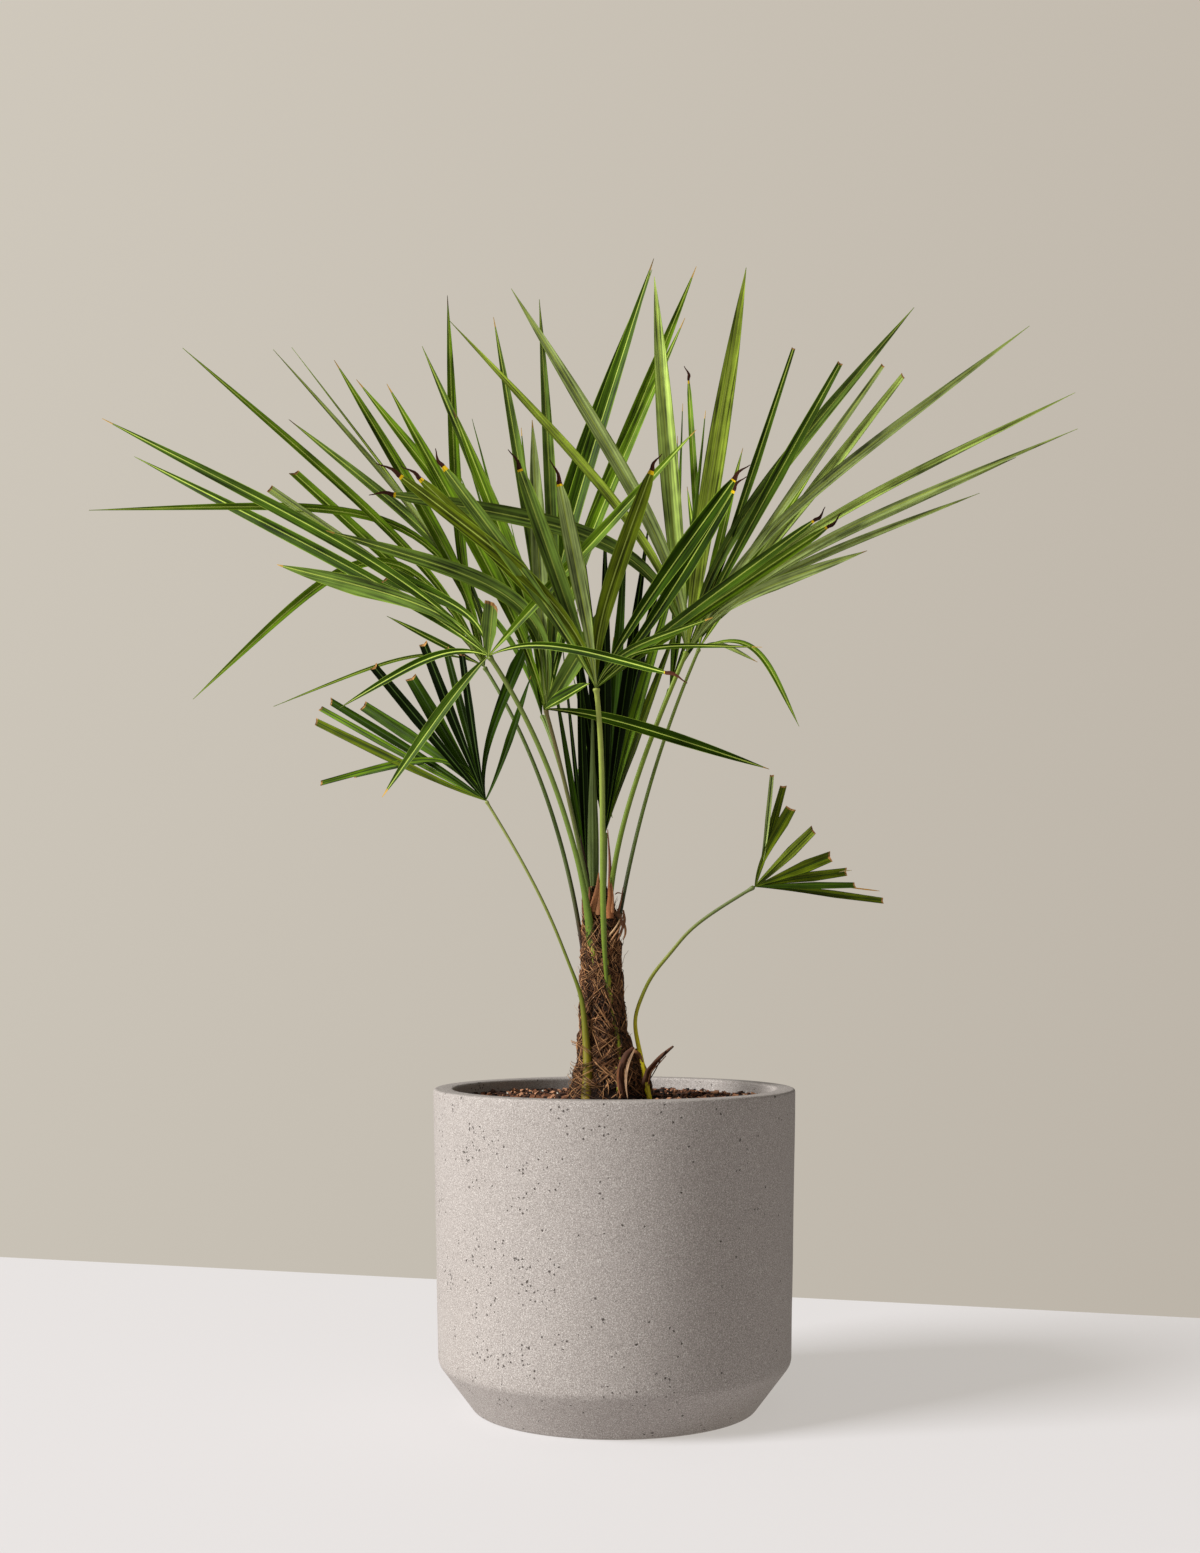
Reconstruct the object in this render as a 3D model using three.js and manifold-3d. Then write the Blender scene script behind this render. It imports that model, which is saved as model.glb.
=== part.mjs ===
// A potted windmill palm: a round concrete pot filled with soil, a short fibrous trunk and fan-shaped fronds.
// Millimetres, +Z up. The origin is the middle of the pot's flat underside, and the plant is seen along +Y.
import * as THREE from 'three';
import { mergeVertices } from 'three/addons/utils/BufferGeometryUtils.js';
import Module from 'manifold-3d';

const wasm = await Module();
wasm.setup();

// Driving dimensions
const gap = 0.3; // clearance between pieces that touch
const pot = { radius: 180, height: 308.5, wall: 20, floor: 22, chamferHeight: 44.9, chamferRadius: 173.3,
  footRadius: 138.7, rimRound: 3, sides: 48 };
const soilLevel = 297.5;
const trunkSides = 20;
const trunkRings = [ // height above the soil, radius, distance of its middle to the right of the pot's axis
  [0, 40, -4], [14, 37, -4], [32, 31, -6], [48, 27, -9], [66, 23.5, -11], [100, 21, -12],
  [145, 19.5, -13], [176, 17, -14], [198, 13, -15], [212, 7, -16]];
const hubRadius = 6;
const blade = {
  stations: [0, 0.15, 0.42, 0.75, 1],
  pointed: [0.2, 0.6, 1, 0.66, 0.06],
  cut: [0.2, 0.5, 0.85, 1, 1],
  fold: 0.35, // how far the edges stand up, as a share of half the width
  crowded: 6, // degrees that a leaflet has to itself, at least
  leastThickness: 2.4,
  thicknessShare: 0.0105, // of the leaflet's length
};
const splay = 0.09; // share of the length by which a leaflet's tip stands off the fan's plane
const archPeak = 1.869; // brings u - u^5, with u = 1 - t, to 1 at its peak, a third of the way out
const crossing = { samples: 30, step: 18, tries: 9, clearance: 5, widthShare: 0.7 };

// Fronds. foot, rise, reach and hub are the four points of the stalk's curve. turn swings the fan about the
// vertical and lean tips it back, in degrees. Each leaflet is its angle from upright, its length, how far it
// arches in hundredths of the length, its width, and how far its tip comes forward. ends has p for a pointed
// tip, w for a withered one and c for a cut one. Leaflets splay to either side of the fan's plane, back and
// forward on the fans that face the front and sideways on the rear ones.
const fronds = [
  { name: 'front', foot: [-7, -22, 405], rise: [-16, -33, 505], reach: [-7, -73, 604],
    hub: [-18, -115, 695], stalk: 2.8, turn: 0, lean: -15, ends: 'wwwwwwwwwwpp',
    leaflets: [[-44, 290, 9, 15], [-40, 285, 5, 15], [-35, 265, 2, 15], [-19, 245, 0, 17],
      [-10.5, 215, 1, 16], [14.5, 235, 5, 17], [34, 250, 2, 17], [34, 250, -3, 16], [53, 270, 1, 17],
      [54.5, 290, 1, 17], [63, 120, 12, 12, 60], [77.5, 160, 15, 9, 40]] },
  { name: 'left_front', foot: [-19, -19, 452], rise: [-37, -28, 553], reach: [-66, -61, 649],
    hub: [-122, -95, 729], stalk: 2.7, turn: -18, lean: -8, ends: 'wwpppccpw',
    leaflets: [[-139, 180, 2, 12], [-104.5, 170, 10, 9], [-66, 240, 8, 13], [-59, 455, 2, 10.5],
      [-58, 475, 4, 10], [-50, 135, 14, 12], [28, 30, 0, 16, 130], [46, 305, 0, 13],
      [101, 200, 8, 11, 30]] },
  { name: 'left_back', foot: [-31, -2, 441], rise: [-45, 3, 540], reach: [-76, 21, 645],
    hub: [-135, 40, 739], stalk: 2.2, turn: 15, lean: 8, ends: 'ppppccpppppp',
    leaflets: [[-104, 220, 16, 4], [-98, 305, 41, 9.5], [-70.5, 415, 26, 9], [-63, 115, 0, 7],
      [-51, 280, 5, 9], [-44, 290, 3, 11], [-43.5, 440, 6, 9.5], [-37.5, 340, 13, 13], [-33, 390, 8, 7.5],
      [-30, 410, 6, 3.5], [-25, 355, 5, 14], [-4.5, 435, -3, 13]] },
  { name: 'low_left', foot: [-26, -27, 301], rise: [-21, -14, 412], reach: [-73, -34, 504],
    hub: [-127, -50, 592], stalk: 1.6, turn: -15, lean: 5, ends: 'cccccccccccpp',
    leaflets: [[-83.5, 175, 20, 7], [-78.5, 145, 22, 7], [-65.5, 200, -1, 7], [-61, 210, 0, 5.5],
      [-58, 200, 1, 7], [-53, 170, 4, 10], [-41.5, 185, 0, 8.5], [-33, 155, 0, 11.5], [-23.5, 175, 0, 9],
      [-17, 165, 0, 6.5], [-11, 150, -1, 6.5], [14, 180, 7, 19], [19.5, 130, -2, 7]] },
  { name: 'low_right', foot: [32, 8, 310], rise: [9, 0, 423], reach: [46, -6, 452], hub: [140, -25, 508],
    stalk: 1.9, turn: 20, lean: 5, ends: 'cccccccc',
    leaflets: [[11.5, 115, -3, 5], [19.5, 110, 0, 8], [28, 90, 5, 12], [49, 90, 0, 10.5], [70, 90, 0, 12],
      [81, 105, 1, 9.5], [89, 110, 0, 7], [95, 145, 1, 7]] },
  { name: 'inner_left', foot: [-24, -10, 495], rise: [-37, -16, 559], reach: [-51, -35, 622],
    hub: [-68, -55, 682], stalk: 2.1, turn: 8, lean: 6, ends: 'ppppppppppp',
    leaflets: [[-51.5, 270, 24, 17], [-29, 400, 8, 17], [-25.5, 360, 3, 16], [-18, 410, 4, 14],
      [-16.5, 315, 4, 15], [-7, 430, 2, 13], [-2, 295, 0, 19], [-0.5, 450, 2, 13], [34, 130, 0, 18, 110],
      [81, 45, 0, 16, 140], [105, 230, 3, 12]] },
  { name: 'tall_back', foot: [-23, 15, 470], rise: [-32, 21, 543], reach: [-49, 41, 616],
    hub: [-72, 62, 692], stalk: 1.8, turn: -5, lean: 10, ends: 'pppppp',
    leaflets: [[-18.5, 420, 5, 16], [9, 260, 0, 12, -120], [12, 525, 4, 20], [11.5, 550, 6, 20],
      [18, 465, 4, 16], [16.5, 565, 3, 18]] },
  { name: 'right_front', foot: [-6, -14, 485], rise: [2, -16, 575], reach: [37, -23, 660],
    hub: [73, -30, 744], stalk: 2.6, turn: 16, lean: -4, ends: 'wppppccpccpppppp',
    leaflets: [[-67, 350, 17, 17], [-38, 410, 7, 12], [-29, 385, 6, 16], [-6, 390, -1, 21],
      [8, 385, 1, 22], [19, 345, -1, 8.5], [28, 335, 1, 12], [33, 460, 6, 14], [34.5, 360, 1, 9],
      [37.5, 390, 0, 12], [46.5, 505, 6, 10.5], [55, 545, 6, 9.5], [60.5, 220, 12, 10], [58, 440, 6, 10],
      [60, 490, 6, 8], [60, 380, 6, 8.5]] },
  { name: 'right_back', foot: [4, 4, 470], rise: [20, 13, 565], reach: [48, 43, 663], hub: [91, 75, 764],
    stalk: 2, turn: -12, lean: 12, ends: 'pwppppp',
    leaflets: [[-3.5, 225, 3, 9, -150], [-3.5, 350, 1, 8], [10.5, 265, 1, 10, -120], [21, 255, 3, 9, -150],
      [30, 255, 0, 10, -90], [105, 65, 14, 5], [131, 140, 25, 6.5]] },
  { name: 'young', foot: [-11, 6, 496], rise: [-10, 9, 520], reach: [-9, 16, 542], hub: [-9, 20, 565],
    stalk: 2.6, turn: 0, lean: 6, ends: 'pppppppp',
    leaflets: [[-9, 260, 0, 13, 14], [-4, 300, 0, 14, -10], [0, 325, 0, 14, 18], [4, 335, 0, 14, -8],
      [8, 330, 0, 14, 16], [12, 320, 1, 14, -10], [15.5, 300, 1, 13, 10], [19, 250, 1, 11]] },
  { name: 'folded', foot: [-22, 7, 494], rise: [-25, 9, 503], reach: [-27, 10, 511], hub: [-28, 11, 521],
    stalk: 2.4, turn: 0, lean: 4, ends: 'pppp',
    leaflets: [[-9.5, 228, 0, 7, 8], [-6, 262, 0, 5, -6], [-2, 272, 0, 10, 8], [1.5, 243, 0, 10, -6]] },
  { name: 'rear_left', foot: [-17, 20, 455], rise: [-32, 36, 530], reach: [-45, 82, 620],
    hub: [-78, 135, 700], stalk: 2.3, turn: 100, lean: 8, depth: [1, 0, 0], ends: 'pppppppp',
    leaflets: [[-26, 290, 2, 14], [-12, 310, 2, 14], [2, 335, 3, 14], [15, 350, 4, 14], [28, 355, 5, 14],
      [41, 355, 6, 14], [54, 345, 7, 14], [66, 330, 8, 14]] },
  { name: 'rear_right', foot: [-6, 16, 468], rise: [-8, 26, 520], reach: [18, 84, 620], hub: [62, 140, 730],
    stalk: 2.3, turn: 80, lean: -8, depth: [1, 0, 0], ends: 'pppppppp',
    leaflets: [[-28, 280, 2, 14], [-14, 300, 2, 14], [0, 320, 3, 14], [13, 345, 4, 14], [26, 355, 5, 14],
      [38, 355, 6, 14], [50, 350, 7, 14], [62, 340, 8, 14]] },
  { name: 'rear_low', foot: [-14, 18, 430], rise: [-17, 46, 500], reach: [-20, 110, 560],
    hub: [-22, 165, 600], stalk: 2.3, turn: 90, lean: 0, depth: [1, 0, 0], ends: 'pppppp',
    leaflets: [[20, 240, 4, 13], [35, 265, 5, 13], [50, 280, 6, 13], [63, 285, 7, 13], [76, 275, 8, 13],
      [88, 255, 9, 13]] },
];

// Materials
const finish = (color, roughness) => new THREE.MeshStandardMaterial({ color, roughness, metalness: 0 });
const concrete = finish(0xb3a9a1, 0.85);
const potting = finish(0x3a261b, 0.95);
const bark = finish(0x5a3f2a, 0.95);
const driedLeaf = finish(0x7b5c3c, 0.9);
const stalkGreen = finish(0x86964a, 0.6);
const leafGreen = finish(0x4a6b2c, 0.6);

// Solids
function solidOf(geometry) {
  const bare = geometry.index ? geometry.toNonIndexed() : geometry;
  const places = new THREE.BufferGeometry().setAttribute('position', bare.getAttribute('position'));
  const merged = mergeVertices(places, 1e-4);
  const mesh = new wasm.Mesh({
    numProp: 3,
    vertProperties: merged.attributes.position.array,
    triVerts: new Uint32Array(merged.index.array),
  });
  return new wasm.Manifold(mesh);
}

function meshOf(name, solid, material) {
  const { vertProperties, triVerts } = solid.getMesh();
  const geometry = new THREE.BufferGeometry();
  geometry.setAttribute('position', new THREE.BufferAttribute(vertProperties, 3));
  geometry.setIndex(new THREE.BufferAttribute(triVerts, 1));
  geometry.computeVertexNormals();
  const mesh = new THREE.Mesh(geometry, material);
  mesh.name = name;
  return mesh;
}

// The largest closed skin of a fused piece: loose scraps are dropped, and hollows that fusing seals are filled.
function wholeOf(solid) {
  return solid.decompose().reduce((largest, piece) => (piece.volume() > largest.volume() ? piece : largest));
}

const at = ([x, y, z]) => new THREE.Vector3(x, y, z);

function turned(profile, sides) {
  const points = profile.map(([radius, height]) => new THREE.Vector2(radius, height));
  return new THREE.LatheGeometry(points, sides).rotateX(Math.PI / 2);
}

// A closed skin over rings of equal numbers of corners, with a flat end at each side
function skinned(rings) {
  const corners = rings[0].length;
  const index = [];
  for (let r = 0; r + 1 < rings.length; r += 1) {
    for (let c = 0; c < corners; c += 1) {
      const a = r * corners + c;
      const b = r * corners + ((c + 1) % corners);
      index.push(a, b, b + corners, a, b + corners, a + corners);
    }
  }
  const last = (rings.length - 1) * corners;
  for (let c = 1; c + 1 < corners; c += 1) {
    index.push(0, c + 1, c, last, last + c, last + c + 1);
  }
  const geometry = new THREE.BufferGeometry().setFromPoints(rings.flat());
  geometry.setIndex(index);
  return geometry;
}

// The pot is a turned wall with a chamfered foot and an inside that follows it.
const inside = {
  radius: pot.radius - pot.wall,
  footRadius: pot.footRadius - pot.wall + 4,
};
const innerChamfer = pot.chamferHeight + 8;

function makePot() {
  const { rimRound: round } = pot;
  return turned([
    [0, 0], [pot.footRadius, 0], [pot.chamferRadius, pot.chamferHeight],
    [pot.radius, pot.height - round], [pot.radius - round, pot.height],
    [inside.radius + round, pot.height], [inside.radius, pot.height - round],
    [inside.radius, innerChamfer], [inside.footRadius, pot.floor], [0, pot.floor],
  ], pot.sides);
}

function makeSoil() {
  return turned([
    [0, pot.floor + gap], [inside.footRadius - gap, pot.floor + gap],
    [inside.radius - gap, innerChamfer + gap], [inside.radius - gap, soilLevel], [0, soilLevel],
  ], pot.sides);
}

// The trunk flares at the soil and tapers to its tip. grown adds clearance for what is cut by it.
function makeTrunk(grown) {
  const rings = trunkRings.map(([height, radius, middle], place) => {
    const lift = place === 0 ? -grown : 0;
    const corners = [];
    for (let side = 0; side < trunkSides; side += 1) {
      const turn = (side / trunkSides) * 2 * Math.PI;
      const reach = radius + grown;
      corners.push(at([middle + reach * Math.cos(turn), reach * Math.sin(turn), soilLevel + gap + height + lift]));
    }
    return corners;
  });
  return skinned(rings);
}

// A fan's own directions: across its width, along its middle, and out of its face
function directions({ turn, lean }) {
  const [t, l] = [THREE.MathUtils.degToRad(turn), THREE.MathUtils.degToRad(lean)];
  const across = at([Math.cos(t), Math.sin(t), 0]);
  const along = at([-Math.sin(t) * Math.sin(l), Math.cos(t) * Math.sin(l), Math.cos(l)]);
  return { across, along, face: new THREE.Vector3().crossVectors(across, along) };
}

// A leaflet leaves the hub straight, arches upward, and stands off the fan's plane more towards its tip.
function leafletCurve(frond, place, sway) {
  const [angle, length, arch, , forward = 0] = frond.leaflets[place];
  const { across, along } = directions(frond);
  const a = THREE.MathUtils.degToRad(angle);
  const out = across.clone().multiplyScalar(Math.sin(a)).addScaledVector(along, Math.cos(a));
  const upward = across.clone().multiplyScalar(-Math.cos(a)).addScaledVector(along, Math.sin(a));
  upward.multiplyScalar(Math.sin(a) < 0 ? -1 : 1);
  const depth = at(frond.depth ?? [0, 1, 0]);
  const off = sway - forward + splay * length * (place % 2 ? 1 : -1);
  return (t) => at(frond.hub)
    .addScaledVector(out, length * t)
    .addScaledVector(upward, (arch / 100) * length * archPeak * ((1 - t) - (1 - t) ** 5))
    .addScaledVector(depth, off * t);
}

// Half the leaflet's width at a share t of its length. Near the hub it has only the room between its neighbours.
function halfWidth(frond, place, t) {
  const shares = frond.ends[place] === 'c' ? blade.cut : blade.pointed;
  const { stations } = blade;
  const after = Math.max(1, stations.findIndex((station) => station >= t));
  const part = (t - stations[after - 1]) / (stations[after] - stations[after - 1]);
  const [angle, length, , width] = frond.leaflets[place];
  const others = frond.leaflets.filter((other) => other !== frond.leaflets[place]);
  const nearest = Math.min(...others.map((other) => Math.abs(other[0] - angle)));
  const room = THREE.MathUtils.degToRad(Math.max(blade.crowded, nearest)) * length * t;
  const own = (width / 2) * THREE.MathUtils.lerp(shares[after - 1], shares[after], part);
  return Math.min(own, 1 + room / 2);
}

// The blade is folded along its middle, so its section is a shallow V.
function makeLeaflet(frond, place, sway) {
  const curve = leafletCurve(frond, place, sway);
  const { face } = directions(frond);
  const thickness = Math.max(blade.leastThickness, blade.thicknessShare * frond.leaflets[place][1]);
  const rings = blade.stations.map((t) => {
    const middle = curve(t);
    const tangent = curve(Math.min(1, t + 0.01)).sub(curve(Math.max(0, t - 0.01))).normalize();
    const side = new THREE.Vector3().crossVectors(face, tangent).normalize();
    const up = new THREE.Vector3().crossVectors(tangent, side);
    const half = halfWidth(frond, place, t);
    const thick = Math.min(thickness, 1.5 * half) / 2;
    const corner = (s, u) => middle.clone().addScaledVector(side, s).addScaledVector(up, u);
    return [corner(half, blade.fold * half), corner(0, thick), corner(-half, blade.fold * half), corner(0, -thick)];
  });
  return skinned(rings);
}

// Places along a curve that later leaflets keep clear of
function samplesOf(curve, halfAt, owner) {
  const samples = [];
  for (let step = 1; step <= crossing.samples; step += 1) {
    const t = step / crossing.samples;
    samples.push({ place: curve(t), half: halfAt(t), owner });
  }
  return samples;
}

const stalkCurve = ({ foot, rise, reach, hub }) =>
  new THREE.CubicBezierCurve3(at(foot), at(rise), at(reach), at(hub));

function clearanceOf(samples, taken) {
  let least = Infinity;
  for (const { place, half, owner } of samples) {
    for (const other of taken) {
      if (other.owner !== owner) {
        const needed = crossing.clearance + crossing.widthShare * (half + other.half);
        least = Math.min(least, place.distanceTo(other.place) - needed);
      }
    }
  }
  return least;
}

// The sway is the smallest that keeps a leaflet clear of the other fronds, tried back and forward in turn.
function chosenSway(frond, place, taken) {
  let best = { clearance: -Infinity };
  for (let attempt = 0; attempt < crossing.tries; attempt += 1) {
    const sway = crossing.step * Math.ceil(attempt / 2) * (attempt % 2 ? 1 : -1);
    const curve = leafletCurve(frond, place, sway);
    const samples = samplesOf(curve, (t) => halfWidth(frond, place, t), frond.name);
    const clearance = clearanceOf(samples, taken);
    if (clearance > best.clearance) {
      best = { clearance, sway, samples };
    }
    if (clearance > 0) {
      break;
    }
  }
  return best;
}

function makeHub(frond, grown) {
  return new THREE.SphereGeometry(hubRadius + grown, 10, 6).translate(...frond.hub);
}

function makeFan(frond, taken) {
  const solids = [solidOf(makeHub(frond, 0))];
  const added = [];
  frond.leaflets.forEach((leaflet, place) => {
    const { sway, samples } = chosenSway(frond, place, taken);
    solids.push(solidOf(makeLeaflet(frond, place, sway)));
    added.push(...samples);
  });
  taken.push(...added);
  return wholeOf(wasm.Manifold.union(solids));
}

// A stalk is cut where its foot meets the trunk and where its tip meets the hub.
function makeStalk(frond, grownTrunk) {
  const section = new THREE.Shape();
  for (let side = 0; side < 6; side += 1) {
    const turn = (side / 6) * 2 * Math.PI;
    const place = [frond.stalk * Math.cos(turn), frond.stalk * Math.sin(turn)];
    if (side === 0) section.moveTo(...place);
    else section.lineTo(...place);
  }
  const tube = new THREE.ExtrudeGeometry(section, { steps: 7, extrudePath: stalkCurve(frond) });
  return wholeOf(solidOf(tube).subtract(grownTrunk).subtract(solidOf(makeHub(frond, gap))));
}

// A stiff dry blade along a curve, for what is left of old leaf bases
function makeStub({ points, widths, thickness, across }) {
  const curve = new THREE.CatmullRomCurve3(points.map(at));
  const rings = widths.map((width, place) => {
    const t = place / (widths.length - 1);
    const middle = curve.getPoint(t);
    const side = at(across).normalize();
    const up = new THREE.Vector3().crossVectors(curve.getTangent(t), side).normalize();
    const corner = (s, u) => middle.clone().addScaledVector(side, s * width).addScaledVector(up, u * thickness);
    return [corner(0.5, 0), corner(0, 0.5), corner(-0.5, 0), corner(0, -0.5)];
  });
  return skinned(rings);
}

const deadBoot = {
  points: [[24, -14, 306], [35, -17, 322], [40, -19, 336], [58, -21, 349]],
  widths: [20, 15, 9, 4], thickness: 4, across: [0.35, 1, 0],
};
const peeledSheath = {
  points: [[8, -34, 303], [11, -40, 320], [15, -38, 336], [21, -36, 347]],
  widths: [22, 19, 14, 8], thickness: 4, across: [1, 0.35, 0],
};
const spear = { foot: [-21, 0, 498], tip: [-22, 5, 682], radius: 5, tipRadius: 2.5 };

function makeSpear() {
  const length = at(spear.foot).distanceTo(at(spear.tip));
  const lean = at(spear.tip).sub(at(spear.foot)).normalize();
  const upright = new THREE.Quaternion().setFromUnitVectors(at([0, 1, 0]), lean);
  return new THREE.CylinderGeometry(spear.tipRadius, spear.radius, length, 8)
    .translate(0, length / 2, 0)
    .applyQuaternion(upright)
    .translate(...spear.foot);
}

const palm = new THREE.Group();
const grownTrunk = solidOf(makeTrunk(gap));
palm.add(meshOf('pot', solidOf(makePot()), concrete));
palm.add(meshOf('soil', solidOf(makeSoil()), potting));
palm.add(meshOf('trunk', solidOf(makeTrunk(0)), bark));
palm.add(meshOf('dead_boot', wholeOf(solidOf(makeStub(deadBoot)).subtract(grownTrunk)), driedLeaf));
palm.add(meshOf('peeled_sheath', wholeOf(solidOf(makeStub(peeledSheath)).subtract(grownTrunk)), driedLeaf));
palm.add(meshOf('spear', wholeOf(solidOf(makeSpear()).subtract(grownTrunk)), stalkGreen));

const taken = fronds.flatMap((frond) => {
  const curve = stalkCurve(frond);
  return samplesOf((t) => curve.getPoint(t), () => frond.stalk, frond.name);
});
for (const frond of fronds) {
  palm.add(meshOf(`stalk_${frond.name}`, makeStalk(frond, grownTrunk), stalkGreen));
  palm.add(meshOf(`fan_${frond.name}`, makeFan(frond, taken), leafGreen));
}

export default palm;
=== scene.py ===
import math
import bpy
import numpy as np
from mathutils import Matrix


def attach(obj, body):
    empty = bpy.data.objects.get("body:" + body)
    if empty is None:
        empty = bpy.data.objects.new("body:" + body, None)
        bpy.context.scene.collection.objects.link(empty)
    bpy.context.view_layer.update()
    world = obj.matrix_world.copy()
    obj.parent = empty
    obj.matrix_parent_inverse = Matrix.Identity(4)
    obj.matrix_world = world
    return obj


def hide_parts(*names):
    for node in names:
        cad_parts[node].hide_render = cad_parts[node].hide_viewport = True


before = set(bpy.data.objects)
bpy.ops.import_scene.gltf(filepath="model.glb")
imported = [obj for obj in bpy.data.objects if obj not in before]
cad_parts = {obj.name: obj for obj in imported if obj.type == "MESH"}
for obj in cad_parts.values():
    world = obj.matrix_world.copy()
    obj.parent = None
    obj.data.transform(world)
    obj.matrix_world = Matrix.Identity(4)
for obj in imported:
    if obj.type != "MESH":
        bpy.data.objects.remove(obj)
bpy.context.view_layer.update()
print("frame loaded with", len(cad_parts), "nodes")

# Shapes are worked out in millimetres, and addPiece turns them into metres. The camera, the stage, the
# light and the distances of bumps are in metres. Colours are display colours from 0 to 255.

# camera and stage

camera = {
    "place": (-0.0143, -1.915, 0.4387),
    "pitch": 5.4185,  # degrees above level
    "lens": 43.96,
}

stage = {
    "wallLine": ((-0.894, 0.919), (0.717, 0.447)),  # where the floor ends, left and right
    "reach": 6.0,  # how far the floor runs to each side and to the front
    "floor": (152, 151, 156),
    "floorGlow": (0.455, 0.43, 0.4),  # a glow painted into the floor as emission, which keeps its shadows pale
    "wallLeft": (203, 196, 184),
    "wallRight": (190, 182, 170),
    "wallAcross": (-0.32, 0.32),  # the directions of view, left and right, between which the colour changes
    "wallUp": (-0.2, 0.45, 0.97, 1.05),  # the directions of view, low and high, and the brightness at each
    "ambient": (0.26, 0.247, 0.225),  # light that comes from all round
}

light = {
    "azimuth": -65,  # degrees from straight in front; a minus is to the left
    "elevation": 28,
    "distance": 20,
    "size": 8,
    "power": 7200,
    "target": (0, 0, 0.6),
    "colour": (1.0, 1.0, 0.99),
}


def linear(colour, share=1):
    # a display colour times share as linear light, by the usual 2.4 power curve
    parts = [min(255, channel * share) / 255 for channel in colour]
    return tuple(part / 12.92 if part <= 0.04045 else ((part + 0.055) / 1.055) ** 2.4 for part in parts)


class Wire:  # a node's output, so that shader maths reads as plain expressions
    def __init__(self, nodes, socket):
        self.nodes = nodes
        self.socket = socket

    def maths(self, operation, *values):
        return self.nodes.node("ShaderNodeMath", {"operation": operation}, dict(enumerate(values)))

    def __add__(self, other):
        return self.maths("ADD", self, other)

    def __radd__(self, other):
        return self.maths("ADD", other, self)

    def __sub__(self, other):
        return self.maths("SUBTRACT", self, other)

    def __rsub__(self, other):
        return self.maths("SUBTRACT", other, self)

    def __mul__(self, other):
        return self.maths("MULTIPLY", self, other)

    def __rmul__(self, other):
        return self.maths("MULTIPLY", other, self)

    def __lt__(self, other):
        return self.maths("LESS_THAN", self, other)

    def __gt__(self, other):
        return self.maths("GREATER_THAN", self, other)


class Nodes:  # one node tree and the single way that nodes are added to it
    def __init__(self, tree):
        self.tree = tree

    def feed(self, socket, value):
        if isinstance(value, Wire):
            self.tree.links.new(value.socket, socket)
        else:
            socket.default_value = value

    def node(self, kind, settings=None, sockets=None, output=0):
        made = self.tree.nodes.new(kind)
        for name, value in (settings or {}).items():
            setattr(made, name, value)
        for name, value in (sockets or {}).items():
            self.feed(made.inputs[name], value)
        return Wire(self, made.outputs[output])

    def blend(self, share, first, second):  # one colour over another by share
        ends = [value if isinstance(value, Wire) else (*value, 1) for value in (first, second)]
        return self.node("ShaderNodeMix", {"data_type": "RGBA"}, {0: share, 6: ends[0], 7: ends[1]}, 2)

    def mottled(self, share, colour, dark, pale):  # a colour times dark at share 0 and times pale at share 1
        return self.blend(share, linear(colour, dark), linear(colour, pale))

    def ramp(self, value, stops):  # the colours of stops, each with its place from 0 to 1, run together
        tone = self.node("ShaderNodeValToRGB", {}, {0: value})
        elements = tone.socket.node.color_ramp.elements
        for stop, (place, colour) in enumerate(stops):
            element = elements[stop] if stop < 2 else elements.new(place)
            element.position = place
            element.color = (*linear(colour), 1)
        return tone

    def remap(self, value, low, high, first=0.0, last=1.0):  # low becomes first and high becomes last
        limits = {"From Min": low, "From Max": high, "To Min": first, "To Max": last}
        return self.node("ShaderNodeMapRange", {}, {"Value": value, **limits})

    def place(self):  # a point of the piece in metres
        return self.node("ShaderNodeTexCoord", output="Object")

    def surface(self):  # a point of the piece's own map
        return self.node("ShaderNodeUVMap", {"uv_map": "surface"})

    def axis(self, vector, which):
        return self.node("ShaderNodeSeparateXYZ", {}, {0: vector}, which)

    def scaled(self, vector, factors):
        return self.node("ShaderNodeVectorMath", {"operation": "MULTIPLY"}, {0: vector, 1: factors})

    def noise(self, vector, scale, detail, rough):
        sockets = {"Vector": vector, "Scale": scale, "Detail": detail, "Roughness": rough}
        return self.node("ShaderNodeTexNoise", {}, sockets)

    def bump(self, height, distance, strength, under=None):
        sockets = {"Height": height, "Distance": distance, "Strength": strength}
        if under is not None:
            sockets["Normal"] = under
        return self.node("ShaderNodeBump", {}, sockets)


class Finish(Nodes):  # a material: its tree and its main shader
    def __init__(self, name, constants):
        self.material = bpy.data.materials.new(name)
        self.material.use_nodes = True
        super().__init__(self.material.node_tree)
        self.shader = self.tree.nodes["Principled BSDF"]
        for socket, value in constants.items():
            self.shader.inputs[socket].default_value = value

    def set(self, **wires):
        for name, value in wires.items():
            socket = {"colour": "Base Color", "roughness": "Roughness", "normal": "Normal"}[name]
            self.feed(self.shader.inputs[socket], value)
        return self.material


def placed(name, data):
    # a new object in the scene
    made = bpy.data.objects.new(name, data)
    bpy.context.scene.collection.objects.link(made)
    return made


def unit(vectors, spare=0.0):
    # each vector over its length; spare keeps a vector without a length from dividing by nought
    return vectors / (np.linalg.norm(vectors, axis=-1, keepdims=True) + spare)


def fullTurn(count):
    # angles evenly round a circle
    return np.linspace(0, 2 * math.pi, count, endpoint=False)


def framed(path, face):
    # directions at each station of a path: along it, across it and square to face, and out from it
    tangent = unit(np.gradient(path, axis=0))
    side = unit(np.cross(face, tangent))
    return tangent, side, np.cross(tangent, side)


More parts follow.
